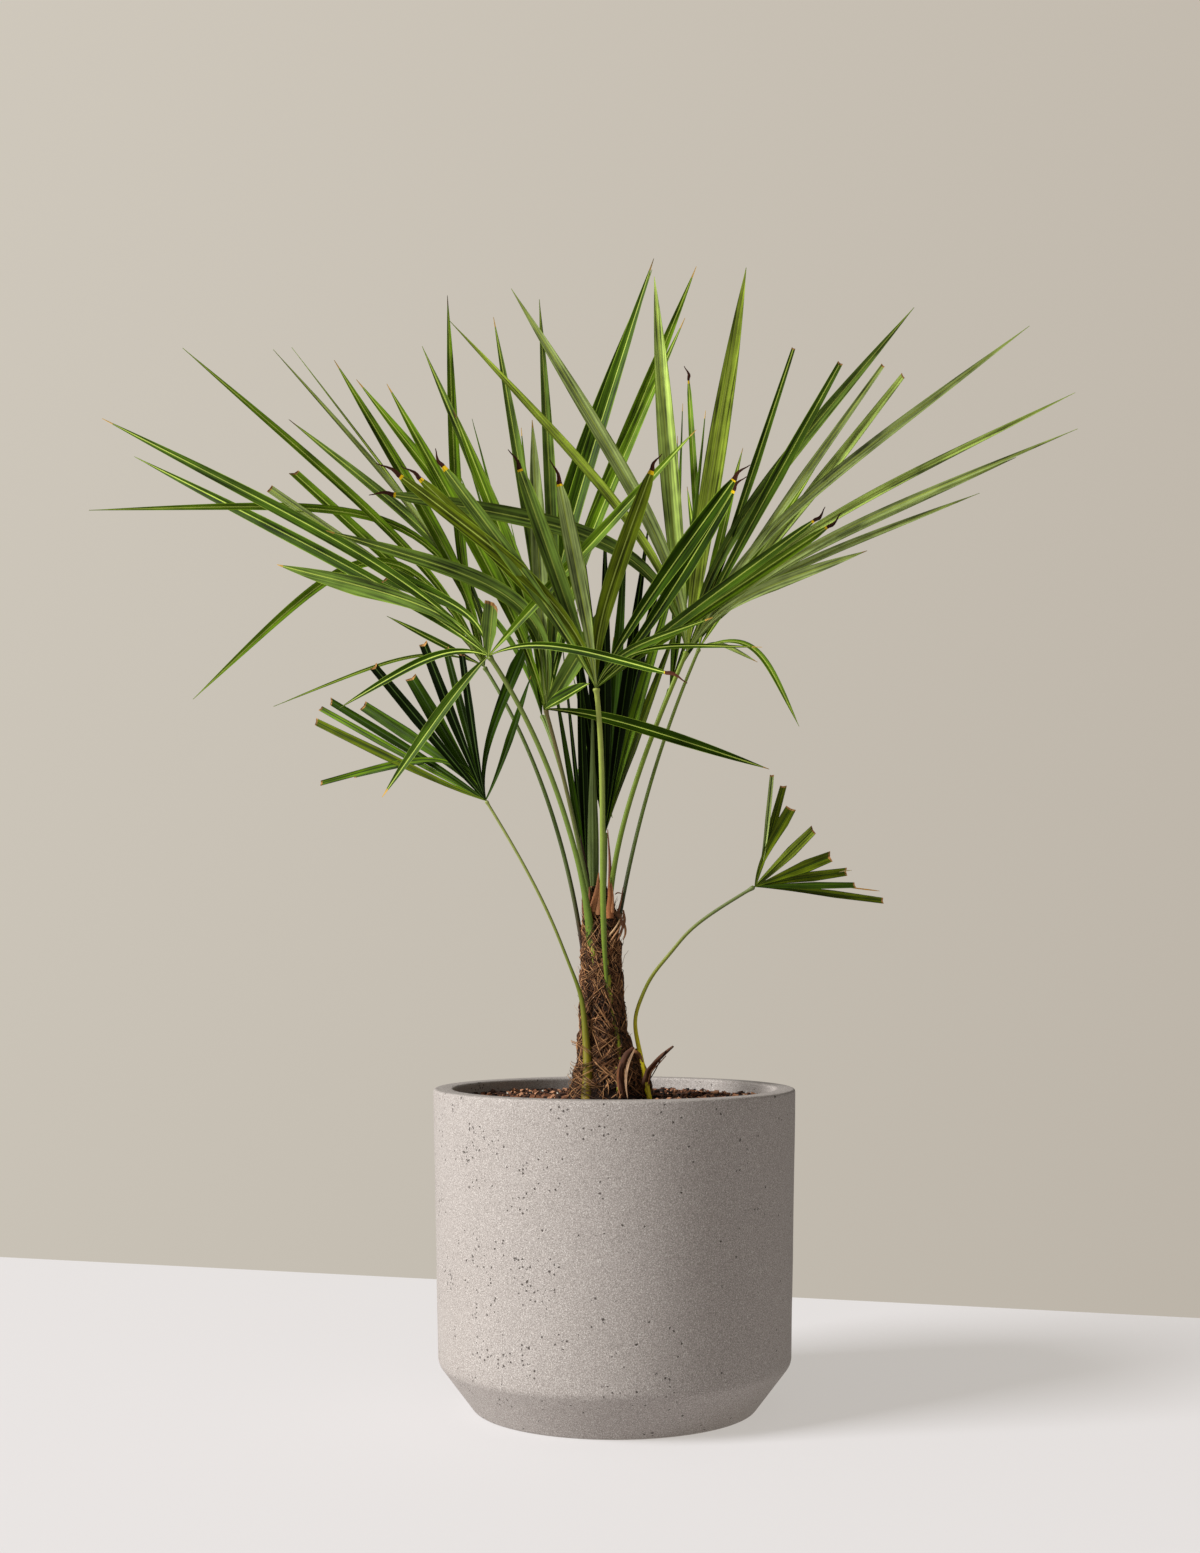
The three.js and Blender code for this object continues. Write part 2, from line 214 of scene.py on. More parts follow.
def twisted(side, up, angle):
    # two directions turned about the path: side cos + up sin, and up cos - side sin
    cos, sin = np.cos(angle)[:, None], np.sin(angle)[:, None]
    return side * cos + up * sin, up * cos - side * sin


def swept(path, side, up, wide, high):
    # rings along a path: at each station the points path + side wide + up high
    return path[:, None] + side[:, None] * wide[..., None] + up[:, None] * high[..., None]


def gridFaces(rows, columns):
    # quads between neighbouring rows and columns, with the last column joined to the first
    row, column = np.arange(rows - 1)[:, None] * columns, np.arange(columns)[None, :]
    after = (column + 1) % columns
    corners = [row + column, row + after, row + columns + after, row + columns + column]
    return np.stack(corners, -1).reshape(-1, 4)


def capFaces(first, count, pole, turned):
    # triangles from a ring of points to its pole
    a = first + np.arange(count)
    b = first + (np.arange(count) + 1) % count
    ring = (b, a) if turned else (a, b)
    return np.stack([*ring, np.full(count, pole)], -1)


def tubeOf(rings):
    # rings of points along a path, closed by a pole at each end; rings has the shape stations, corners, 3
    stations, corners = rings.shape[:2]
    points = np.concatenate([rings.reshape(-1, 3), rings[0].mean(0)[None], rings[-1].mean(0)[None]])
    sides = gridFaces(stations, corners)
    ends = np.concatenate([
        capFaces(0, corners, stations * corners, turned=True),
        capFaces((stations - 1) * corners, corners, stations * corners + 1, turned=False),
    ])
    return points, sides, ends


def addPiece(name, points, quads, triangles, finishes, slot, nodes, kinds=None, uv=None, sharp=None):
    # a mesh from whole arrays; kinds gives each face's finish, quads first, uv each point's place on the
    # map, and sharp the angle in degrees from which an edge stays hard
    mesh = bpy.data.meshes.new(name)
    counts = np.concatenate([np.full(len(quads), 4), np.full(len(triangles), 3)]).astype(np.int32)
    corners = np.concatenate([np.ravel(quads), np.ravel(triangles)]).astype(np.int32)
    mesh.vertices.add(len(points))
    mesh.vertices.foreach_set("co", (np.asarray(points, float) / 1000).astype(np.float32).ravel())
    mesh.loops.add(len(corners))
    mesh.loops.foreach_set("vertex_index", corners)
    mesh.polygons.add(len(counts))
    mesh.polygons.foreach_set("loop_start", np.concatenate([[0], np.cumsum(counts)[:-1]]).astype(np.int32))
    for finish in finishes:
        mesh.materials.append(finish)
    if kinds is not None:
        mesh.polygons.foreach_set("material_index", np.asarray(kinds, np.int32))
    if uv is not None:
        layer = mesh.uv_layers.new(name="surface")
        layer.data.foreach_set("uv", np.asarray(uv, np.float32)[corners].ravel())
    mesh.update(calc_edges=True)
    mesh.validate()
    mesh.polygons.foreach_set("use_smooth", np.ones(len(mesh.polygons), bool))
    if sharp is not None:
        mesh.set_sharp_from_angle(angle=math.radians(sharp))
    piece = placed(name, mesh)
    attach(piece, "root")
    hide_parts(*nodes)
    print(name, len(quads) * 2 + len(triangles), "triangles")


def joined(parts):
    # several (points, quads, triangles) made one, with each part's faces moved on by the points before it
    starts = np.cumsum([0] + [len(part[0]) for part in parts[:-1]])
    points = np.concatenate([part[0] for part in parts])
    quads = np.concatenate([part[1] + start for part, start in zip(parts, starts)])
    triangles = np.concatenate([part[2] + start for part, start in zip(parts, starts)])
    return points, quads, triangles


def ripple(points, wavelength, seed):
    # gentle noise between about -1 and 1: a sum of sine waves in random directions, over the root of their
    # doubled number
    chance, waves = np.random.default_rng(seed), 7
    directions = chance.normal(size=(waves, points.shape[-1]))
    rate = (2 * math.pi / wavelength) * chance.uniform(0.6, 1.7, (waves, 1))
    directions *= rate / np.linalg.norm(directions, axis=1, keepdims=True)
    phases = chance.uniform(0, 2 * math.pi, waves)
    return np.sin(points @ directions.T + phases).sum(-1) / math.sqrt(waves * 2)


eye = placed("eye", bpy.data.cameras.new("eye"))
eye.location = camera["place"]
eye.rotation_euler = (math.radians(90 + camera["pitch"]), 0, 0)
eye.data.lens = camera["lens"]
bpy.context.scene.camera = eye
bpy.context.scene.view_settings.view_transform = "Standard"

# The floor ends at the wall's line. Past it the plain background shows, as wide as any view.
(leftX, leftY), (rightX, rightY) = stage["wallLine"]
slope = (rightY - leftY) / (rightX - leftX)
reach = stage["reach"]
floorCorners = [
    (-reach, -reach, 0), (reach, -reach, 0),
    (reach, leftY + slope * (reach - leftX), 0), (-reach, leftY + slope * (-reach - leftX), 0),
]
floorMesh = bpy.data.meshes.new("floor")
floorMesh.from_pydata(floorCorners, [], [(0, 1, 2, 3)])
# the floor glows by floorGlow: painted light that keeps its shadows pale
paint = Finish("floorPaint", {
    "Base Color": (*linear(stage["floor"]), 1), "Roughness": 0.9, "Specular IOR Level": 0.0,
    "Emission Color": (*stage["floorGlow"], 1), "Emission Strength": 1.0,
})
floorMesh.materials.append(paint.material)
floor = placed("floor", floorMesh)

world = bpy.data.worlds.new("studio")
bpy.context.scene.world = world
world.use_nodes = True
sky = Nodes(world.node_tree)
view = sky.node("ShaderNodeTexCoord", output="Generated")
towardsRight = sky.remap(sky.axis(view, 0), *stage["wallAcross"])
brightness = sky.remap(sky.axis(view, 2), *stage["wallUp"])
wall = sky.blend(towardsRight, linear(stage["wallLeft"]), linear(stage["wallRight"]))
wall = sky.node("ShaderNodeVectorMath", {"operation": "SCALE"}, {0: wall, "Scale": brightness})
seen = sky.node("ShaderNodeLightPath", output="Is Camera Ray")
sky.feed(world.node_tree.nodes["Background"].inputs["Color"], sky.blend(seen, stage["ambient"], wall))

lamp = bpy.data.lights.new("key", "AREA")
lamp.size = light["size"]
lamp.energy = light["power"]
lamp.color = light["colour"]
key = placed("key", lamp)
azimuth, elevation = math.radians(light["azimuth"]), math.radians(light["elevation"])
level = math.cos(elevation)
outward = np.array([math.sin(azimuth) * level, -math.cos(azimuth) * level, math.sin(elevation)])
key.location = np.array(light["target"]) + outward * light["distance"]
key.rotation_euler = (math.radians(90 - light["elevation"]), 0, azimuth)
print("camera, floor and light made")

# pot

pot = {
    "radius": 180, "height": 308.5, "wall": 20, "chamferHeight": 44.9, "chamferRadius": 173.3,
    "footRadius": 138.7, "bedHeight": 255,  # the bed is the flat inside, which the soil hides
    "rounds": (2.5, 5, 3.2, 3.2, 3),  # of the foot, the chamfer's edge, the rim's two edges, and the bed
    "roundStations": 6, "wallRings": 12, "flatRings": (2, 70), "sides": 240,
    "unevenness": 0.25, "unevenWave": 90, "unevenFrom": 20, "seed": 11,
    "colour": (148, 141, 136), "pale": (156, 149, 145), "deep": (139, 131, 125), "pit": (62, 54, 49),
    "cloud": 9.0, "grain": 800.0, "sparkle": 1300.0, "cluster": 34.0,  # noises, in waves to a metre
    "grainContrast": 3.2, "grainDark": (0.68, 0.67, 0.66), "grainPale": (1.33, 1.33, 1.34),
    "dust": (222, 217, 211), "dustFrom": 0.62, "dustShare": 0.5,
    "pitSides": (-0.15, 0.08, 1.0, 0.16),  # two places across the pot and how crowded the pits are there
    "pitKinds": ((270.0, 0.27, 3.6), (165.0, 0.2, 1.9)),  # cells to a metre, size in a cell, and how common
    "pitShare": 0.92, "pitDepth": 0.0012, "grainDepth": 0.0003,
}


def roundedCorner(before, corner, after, radius):
    # points of an arc that replaces a corner, by the quadratic curve between the two tangent points
    before, corner, after = map(np.array, (before, corner, after))
    first = corner + (before - corner) / np.linalg.norm(before - corner) * radius
    last = corner + (after - corner) / np.linalg.norm(after - corner) * radius
    t = np.linspace(0, 1, pot["roundStations"])[:, None]
    return (1 - t) ** 2 * first + 2 * t * (1 - t) * corner + t ** 2 * last


def turnedProfile(profile, sides):
    # a profile of (radius, height) turned once round the upright axis
    turn = fullTurn(sides)
    radius, height = profile[:, 0][:, None], profile[:, 1][:, None]
    return np.stack([radius * np.cos(turn), radius * np.sin(turn), height + 0 * turn], -1)


def makePot():
    outer, inner, top, bed = pot["radius"], pot["radius"] - pot["wall"], pot["height"], pot["bedHeight"]
    corners = [
        (0, 0), (pot["footRadius"], 0), (pot["chamferRadius"], pot["chamferHeight"]),
        (outer, top), (inner, top), (inner, bed), (0, bed),
    ]
    foot, edge, rimOut, rimIn, low = (
        roundedCorner(*corners[k:k + 3], radius) for k, radius in enumerate(pot["rounds"])
    )
    wall = np.linspace(edge[-1], rimOut[0], pot["wallRings"])[1:-1]
    under = [[radius, 0] for radius in pot["flatRings"]]
    inside = [[radius, bed] for radius in pot["flatRings"][::-1]]
    rings = turnedProfile(np.concatenate([under, foot, edge, wall, rimOut, rimIn, low, inside]), pot["sides"])
    away = rings * [1, 1, 0] / np.maximum(1, np.linalg.norm(rings[..., :2], axis=-1))[..., None]
    above = (rings[..., 2:] > pot["unevenFrom"]) * 1.0
    uneven = ripple(rings, pot["unevenWave"], pot["seed"])[..., None]
    points, sides, ends = tubeOf(rings + away * above * pot["unevenness"] * uneven)
    addPiece("concretePot", points, sides, ends, [concrete()], "concrete", ["pot"], sharp=50)


def concrete():
    # cloudy grey with a fine grain and pale dust; a pit is drawn where a cell's middle is near and the
    # cell's own chance is below the clusters' share
    finish = Finish("concrete", {"Specular IOR Level": 0.35})
    place = finish.place()
    cloud = finish.noise(place, pot["cloud"], 4, 0.6)
    grain = finish.noise(place, pot["grain"], 2, 0.8)
    sparkle = finish.noise(place, pot["sparkle"], 1, 0.5)
    shade = finish.blend(cloud, linear(pot["deep"]), linear(pot["pale"]))
    base = finish.blend(0.5, shade, linear(pot["colour"]))
    contrast = (grain - 0.5) * pot["grainContrast"] + 0.5
    dark, pale = finish.scaled(base, pot["grainDark"]), finish.scaled(base, pot["grainPale"])
    dusty = (sparkle > pot["dustFrom"]) * pot["dustShare"]
    dusted = finish.blend(dusty, finish.blend(contrast, dark, pale), linear(pot["dust"]))
    crowd = finish.remap(finish.axis(place, 0), *pot["pitSides"])
    clusters = (finish.noise(place, pot["cluster"], 2, 0.5) - 0.5) * crowd
    spots = []
    for scale, size, share in pot["pitKinds"]:
        cells = {"Vector": place, "Scale": scale, "Randomness": 1.0}
        near = finish.node("ShaderNodeTexVoronoi", {}, cells)
        own = finish.node("ShaderNodeTexVoronoi", {}, cells, "Color")
        chance = finish.node("ShaderNodeSeparateColor", {}, {0: own})
        spots.append((near + (sparkle - 0.5) * 0.5 < size) * (chance < clusters * share + 0.002))
    pits = spots[0] + spots[1] - spots[0] * spots[1]
    rough = finish.bump(grain, pot["grainDepth"], 0.5)
    return finish.set(
        colour=finish.blend(pot["pitShare"] * pits, dusted, linear(pot["pit"])),
        roughness=0.62 + 0.25 * grain,
        normal=finish.bump(0 - pits, pot["pitDepth"], 0.8, rough),
    )


makePot()

# soil

soil = {
    "level": 297.5, "radius": 159.8, "rings": 70, "sides": 200,
    "heave": 1.6, "humps": ((45, 0.6, 21), (9, 0.4, 22)),  # wavelength, share of the heave, and seed
    "rise": 1.5, "riseMiddle": -4, "riseReach": 60, "settled": 1.2,  # it rises a little towards the trunk
    "hidden": 262,  # height of the bed's unseen underside
    "earth": ((0.3, (22, 14, 10)), (0.5, (58, 36, 25)), (0.72, (112, 70, 44))),
    "seed": 31, "ragged": (0.62, 1.0), "tilt": 0.35,
    "chips": {
        "count": 1700, "size": (2.6, 8), "flat": 0.42,
        "colours": {
            "chip0": (52, 32, 23), "chip1": (104, 66, 44), "chip2": (168, 122, 92), "chip3": (24, 15, 11),
        },
    },
    "crumbs": {"count": 90, "size": (1.0, 2.4), "flat": 0.9, "colours": {"crumb": (214, 204, 190)}},
}


def blocks(sizes, centres, turns, chance):
    # small six-sided blocks: the corners of a box moved at random, turned about the upright and tilted
    count = len(sizes)
    corner = np.array([[x, y, z] for z in (-1, 1) for y in (-1, 1) for x in (-1, 1)], float)
    shape = corner[None] * chance.uniform(*soil["ragged"], (count, 8, 3)) * sizes[:, None, :] / 2
    tilt = chance.normal(0, soil["tilt"], (count, 2))
    shape[..., 2] += shape[..., 0] * tilt[:, :1] + shape[..., 1] * tilt[:, 1:]
    cos, sin = np.cos(turns)[:, None], np.sin(turns)[:, None]
    x, y = shape[..., 0] * cos - shape[..., 1] * sin, shape[..., 0] * sin + shape[..., 1] * cos
    points = np.stack([x, y, shape[..., 2]], -1) + centres[:, None]
    face = np.array([[0, 2, 3, 1], [4, 5, 7, 6], [0, 1, 5, 4], [2, 6, 7, 3], [0, 4, 6, 2], [1, 3, 7, 5]])
    quads = (face[None] + 8 * np.arange(count)[:, None, None]).reshape(-1, 4)
    return points.reshape(-1, 3), quads


def soilHeight(x, y):
    # the level, with humps from gentle noise, fine crumbs, and a rise by a bell curve towards the trunk
    flat = np.stack([x, y, 0 * x], -1)
    humps = sum(ripple(flat, wavelength, seed) * share for wavelength, share, seed in soil["humps"])
    centre = np.exp(-(np.hypot(x - soil["riseMiddle"], y) / soil["riseReach"]) ** 2)
    return soil["level"] + soil["heave"] * humps + centre * soil["rise"] - soil["settled"]


def earth():
    finish = Finish("earth", {"Roughness": 0.95, "Specular IOR Level": 0.2})
    grain = finish.noise(finish.place(), 260.0, 4, 0.7)
    return finish.set(colour=finish.ramp(grain, soil["earth"]), normal=finish.bump(grain, 0.002, 0.9))


def chipFinish(name, colour):
    finish = Finish(name, {"Roughness": 0.85, "Specular IOR Level": 0.25})
    grain = finish.noise(finish.place(), 420.0, 3, 0.6)
    return finish.set(colour=finish.mottled(grain, colour, 0.7, 1.25), normal=finish.bump(grain, 0.0006, 0.6))


def makeSoil():
    radius = np.linspace(0, soil["radius"], soil["rings"])[1:, None]
    turn = fullTurn(soil["sides"])[None]
    x, y = radius * np.cos(turn), radius * np.sin(turn)
    top = np.stack([x, y, soilHeight(x, y)], -1)
    skirt = np.stack([x[-1], y[-1], 0 * x[-1] + soil["hidden"]], -1)[None]
    under = skirt * [0.5, 0.5, 1]
    points, sides, ends = tubeOf(np.concatenate([top, skirt, under]))
    addPiece("soilBed", points, sides[:, ::-1], ends[:, ::-1], [earth()], "potting", ["soil"])

    chance = np.random.default_rng(soil["seed"])
    for name, kind in (("soilChips", soil["chips"]), ("soilCrumbs", soil["crumbs"])):
        count, flat = kind["count"], kind["flat"]
        turn = chance.uniform(0, 2 * math.pi, count)
        away = np.sqrt(chance.uniform(0.05, 1, count)) * (soil["radius"] - 3)
        long = chance.uniform(*kind["size"], count)
        wide, high = long * chance.uniform(0.4, 0.8, count), long * flat * chance.uniform(0.6, 1, count)
        x, y = away * np.cos(turn), away * np.sin(turn)
        centres = np.stack([x, y, soilHeight(x, y) + high * 0.25], -1)
        sizes = np.stack([long, wide, high], -1)
        points, quads = blocks(sizes, centres, chance.uniform(0, 2 * math.pi, count), chance)
        finishes = [chipFinish(*item) for item in kind["colours"].items()]
        kinds = np.repeat(chance.integers(0, len(finishes), count), 6)
        addPiece(name, points, quads, np.zeros((0, 3), int), finishes, "potting", [], kinds=kinds, sharp=20)


makeSoil()

# trunk

trunk = {
    "base": 297.8,
    "rings": [  # height above the soil, radius, distance of its middle to the right of the pot's axis
        (0, 42.5, -6.5), (8, 39, -5.5), (18, 36, -4.5), (32, 31, -6), (48, 27, -9), (66, 23.5, -11),
        (100, 21, -12), (145, 19.5, -13), (176, 17, -14), (198, 13, -15), (212, 7, -16)],
    "top": 211, "sides": 160, "stations": 170,
    "sheaths": 2.2, "sheathRise": 31, "smoothFrom": 200,  # relief of the old leaf bases, less near the top
    "rough": 0.8, "roughness": ((12, 1, 41), (5, 0.6, 42)),  # wavelength, share of rough, and seed
    # the bark's tones are the trunk's own dark brown, drawn nearly black as painted shade in the gaps between
    # the fibres
    "bark": ((0.32, (7, 4, 2)), (0.5, (24, 13, 7)), (0.7, (56, 34, 20))),
    "seed": 43, "strandStations": 8,
    "fibres": 2500, "fibreTop": 196, "fibreLength": (12, 44), "fibreRadius": (0.3, 0.62), "lift": 2.2,
    "fibreSlant": (0.15, 1.25), "fibreBend": 0.12,
    "fibreColours": [(108, 71, 43), (66, 41, 23), (162, 119, 78), (32, 18, 9)],
    "fibreShares": (0.4, 0.27, 0.17, 0.16),  # how common each colour is on the trunk, and below on the mound
    "moundShares": (0.4, 0.3, 0.12, 0.18),
    "bundleRadius": (0.26, 0.42), "bundleLift": 1.6,
    "bundles": [  # places along a bunch of fibres (across, height above the ground), number, spread, own lift
        ([(-32, 417), (-23, 423), (-14, 430)], 7, 1.3), ([(-14, 431), (-4, 425), (7, 416)], 6, 1.3),
        ([(-24, 456), (-19, 448), (-15, 440)], 5, 0.9), ([(-36, 354), (-28, 351), (-18, 342)], 5, 1.2, 7),
        ([(-26, 340), (-12, 352), (2, 362)], 5, 1.5), ([(-24, 326), (-6, 340), (12, 350)], 5, 1.6),
        ([(-34, 378), (-27, 390), (-18, 399)], 4, 1.2), ([(-20, 392), (-12, 380), (-2, 366)], 4, 1.2),
        ([(-6, 410), (2, 398), (8, 384)], 4, 1.2), ([(-40, 322), (-26, 314), (-10, 312)], 5, 1.5),
        ([(-12, 330), (2, 318), (14, 308)], 5, 1.5), ([(-19, 488), (-12, 480), (-6, 470)], 5, 1.0),
        ([(-31, 470), (-24, 463), (-17, 452)], 6, 1.6, 3.5),
        ([(-17, 472), (-22, 460), (-29, 450)], 6, 1.6, 3.5),
        ([(-36, 334), (-28, 331), (-17, 336)], 5, 2.2, 8.5),
        ([(-37, 318), (-28, 324), (-18, 330)], 6, 2.2, 8.5),
        ([(-36, 326), (-29, 318), (-18, 310)], 7, 2.6, 8), ([(-36, 304), (-28, 311), (-17, 319)], 7, 2.6, 7),
        ([(-40, 314), (-29, 306), (-17, 301)], 8, 2.6, 5.5),
    ],
    "hairs": 260, "hairLength": (10, 34), "hairRadius": (0.16, 0.3), "hairTop": 209,
    "hairUpper": 120, "upperShare": 0.55,  # the height that more than half of the hairs start above
    "mound": [  # a small fibrous mound at low_right's foot, in the numbers of the trunk's rings
        (0, 17.5, 20.5), (13, 15.5, 21), (27, 9.5, 22.5), (38, 6, 21.5), (46, 3.2, 20), (50, 1, 19.5)],
    "moundDepth": -4, "moundStations": 40, "moundSides": 40, "moundInset": 0.6,
    "moundFibres": 420, "moundLength": (8, 26), "moundSlant": (0.1, 1.0),
}


def ringAt(rings, height):
    # the radius and the middle of a stack of rings at a height above the soil
    heights, radii, middles = np.array(rings, float).T
    return np.interp(height, heights, radii), np.interp(height, heights, middles)


def trunkSkin(turn, height, lift=0.0):
    # a point of the trunk: its ring's radius, more where old leaf bases overlap in rising turns, and fine
    # ripples
    turn, height = np.broadcast_arrays(turn, height)
    radius, middle = ringAt(trunk["rings"], height)
    climb = (height / trunk["sheathRise"] + turn / (2 * math.pi) * 2) % 1
    flat = np.stack([np.cos(turn) * 22, np.sin(turn) * 22, height], -1)
    relief = trunk["sheaths"] * (climb ** 1.5 - 0.5) * np.clip((trunk["smoothFrom"] - height) / 60, 0.2, 1)
    rough = sum(share * ripple(flat, wavelength, seed) for wavelength, share, seed in trunk["roughness"])
    reach = np.maximum(radius + (relief + trunk["rough"] * rough) - 0.4, 2) + lift
    return np.stack([middle + reach * np.cos(turn), reach * np.sin(turn), trunk["base"] + height], -1)


def moundSkin(turn, height, lift):
    # a point of the mound, whose rings stand a little in front of the axis
    radius, middle = ringAt(trunk["mound"], height)
    x, y = middle + (radius + lift) * np.cos(turn), trunk["moundDepth"] + (radius + lift) * np.sin(turn)
    return np.stack(np.broadcast_arrays(x, y, trunk["base"] + height), -1)


def onFront(across, up, lift):
    # the point of the trunk's front with this distance across and this height
    height = up - trunk["base"]
    radius, middle = ringAt(trunk["rings"], height)
    turn = -np.arccos(np.clip((across - middle) / radius, -0.98, 0.98))
    return trunkSkin(turn, height, lift)


def barkWithGapShade():
    # near-black bark that shows between the fibres as painted shade
    finish = Finish("barkWithGapShade", {"Roughness": 0.92, "Specular IOR Level": 0.2})
    place = finish.place()
    threads = finish.noise(finish.scaled(place, (1.0, 1.0, 0.35)), 420.0, 4, 0.65)
    patches = finish.noise(place, 60.0, 3, 0.6)
    tone = finish.ramp(threads * 0.7 + patches * 0.3, trunk["bark"])
    return finish.set(colour=tone, normal=finish.bump(threads, 0.0012, 0.9))


def strandFinish(name, colour):
    finish = Finish(name, {"Roughness": 0.75, "Specular IOR Level": 0.3})
    return finish.set(colour=finish.mottled(finish.noise(finish.place(), 160.0, 2, 0.5), colour, 0.68, 1.3))


def strands(paths, radii):
    # thin three-sided tubes along many paths at once, each tapering to both ends; paths is (count,
    # stations, 3)
    count, stations = paths.shape[:2]
    tangent = unit(np.gradient(paths, axis=1), 1e-9)
    side = unit(np.cross(tangent, [0.31, 0.17, 0.93]), 1e-9)
    up = np.cross(side, tangent)
    taper = 0.35 + 0.65 * np.sin(math.pi * np.linspace(0.04, 0.96, stations))
    size = (radii[:, None] * taper)[..., None, None]
    turn = (np.arange(3) * 2 * math.pi / 3)[None, None, :, None]
    points = paths[:, :, None] + (side[:, :, None] * np.cos(turn) - up[:, :, None] * np.sin(turn)) * size
    starts = (np.arange(count) * stations * 3)[:, None, None]
    quads = gridFaces(stations, 3)[None] + starts
    last = (stations - 1) * 3
    triangles = np.array([[2, 1, 0], [last, last + 1, last + 2]])[None] + starts
    return points.reshape(-1, 3), quads.reshape(-1, 4), triangles.reshape(-1, 3)


def strandKinds(kinds, stations):
    # each strand's finish for its faces: three sides between stations, and then the two ends
    return np.concatenate([np.repeat(kinds, (stations - 1) * 3), np.repeat(kinds, 2)])


def curveThrough(points, count):
    # an even run of places along a smooth line: in each span the cubic from a to b with the slopes c and d,
    # (2 t^3 - 3 t^2 + 1) a + (t^3 - 2 t^2 + t) c + (3 t^2 - 2 t^3) b + (t^3 - t^2) d
    points = np.array(points, float)
    spans = len(points) - 1
    slopes = np.gradient(points, axis=0)
    u = np.linspace(0, spans, count)
    k = np.minimum(u.astype(int), spans - 1)
    t = (u - k)[:, None]
    a, b, c, d = points[k], points[k + 1], slopes[k], slopes[k + 1]
    first = (2 * t ** 3 - 3 * t ** 2 + 1) * a + (t ** 3 - 2 * t ** 2 + t) * c
    return first + (3 * t ** 2 - 2 * t ** 3) * b + (t ** 3 - t ** 2) * d


def lyingFibres(chance, t):
    # each fibre climbs by its length times the cosine of its slant and goes round by the sine over the
    # radius, with a slight bend, and arches off the skin in its middle
    count, top = trunk["fibres"], trunk["top"]
    low = chance.beta(1.0, 1.25, count)[:, None] * trunk["fibreTop"]
    long = chance.uniform(*trunk["fibreLength"], count)[:, None]
    way = chance.choice([-1, 1], count)[:, None] * chance.uniform(*trunk["fibreSlant"], count)[:, None]
    bend = chance.normal(0, 0.5, count)[:, None]
    rise = low + long * np.cos(way) * t + long * trunk["fibreBend"] * bend * t * (1 - t) * 4
    about = ringAt(trunk["rings"], rise)[0]
    start = chance.uniform(0, 2 * math.pi, count)[:, None]
    around = start + long * np.sin(way) * t / about + bend * trunk["fibreBend"] * np.sin(math.pi * t)
    over = chance.uniform(0.1, trunk["lift"], count)[:, None] * np.sin(math.pi * (0.1 + 0.8 * t)) - 0.1
    paths = trunkSkin(around, np.clip(rise, 0.5, top), over)
    radii = chance.uniform(*trunk["fibreRadius"], count)
    return paths, radii, chance.choice(4, count, p=trunk["fibreShares"])


def bundledFibres(chance, t):
    # each bunch's fibres follow its places, shifted by a normal spread and slanted by a little less
    for places, number, spread, *own in trunk["bundles"]:
        run = curveThrough(places, t.size)[None] + chance.normal(0, spread, (number, 1, 2))
        slant = chance.normal(0, spread * 0.6, (number, 1, 2)) * np.linspace(-1, 1, t.size)[None, :, None]
        run = run + slant
        lift = (own or [trunk["bundleLift"]])[0] + chance.uniform(0, 1.2, (number, 1)) * np.sin(math.pi * t)
        paths = onFront(run[..., 0], run[..., 1], lift)
        yield paths, chance.uniform(*trunk["bundleRadius"], number), chance.choice(3, number)


def moundFibres(chance, t):
    # as on the trunk, but only round the mound's front half
    number = trunk["moundFibres"]
    long = chance.uniform(*trunk["moundLength"], (number, 1))
    way = chance.choice([-1, 1], (number, 1)) * chance.uniform(*trunk["moundSlant"], (number, 1))
    rise = np.clip(chance.uniform(-2, 42, (number, 1)) + long * np.cos(way) * t, 0, 49)
    about = np.maximum(ringAt(trunk["mound"], rise)[0], 4)
    start = chance.uniform(math.pi, 2 * math.pi + 0.4, (number, 1))
    around = start + np.clip(long * np.sin(way) * t / about, -2, 2)
    lift = chance.uniform(0, 1.4, (number, 1)) * np.sin(math.pi * t)
    radii = chance.uniform(*trunk["fibreRadius"], number)
    return moundSkin(around, rise, lift), radii, chance.choice(4, number, p=trunk["moundShares"])


def strayHairs(chance, t):
    # hairs that stand off the skin: each leans out by a power of the way along it
    count, upper, top = trunk["hairs"], trunk["hairUpper"], trunk["fibreTop"]
    above = chance.uniform(size=count) < trunk["upperShare"]
    low = np.where(above, chance.uniform(upper, top, count), chance.uniform(2, upper, count))[:, None]
    long = chance.uniform(*trunk["hairLength"], count)[:, None]
    start = chance.uniform(0, 2 * math.pi, count)[:, None]
    lean = chance.uniform(0.1, 0.5, count)[:, None]
    sweep = chance.normal(0, 0.35, count)[:, None]
    rise = low + long * t * (1 - lean * t * 0.6)
    out = long * lean * t ** 1.6 * 0.55
    paths = trunkSkin(start + sweep * t, np.clip(rise, 0, trunk["hairTop"]), 0.4 + out)
    return paths, chance.uniform(*trunk["hairRadius"], count), chance.choice(2, count)


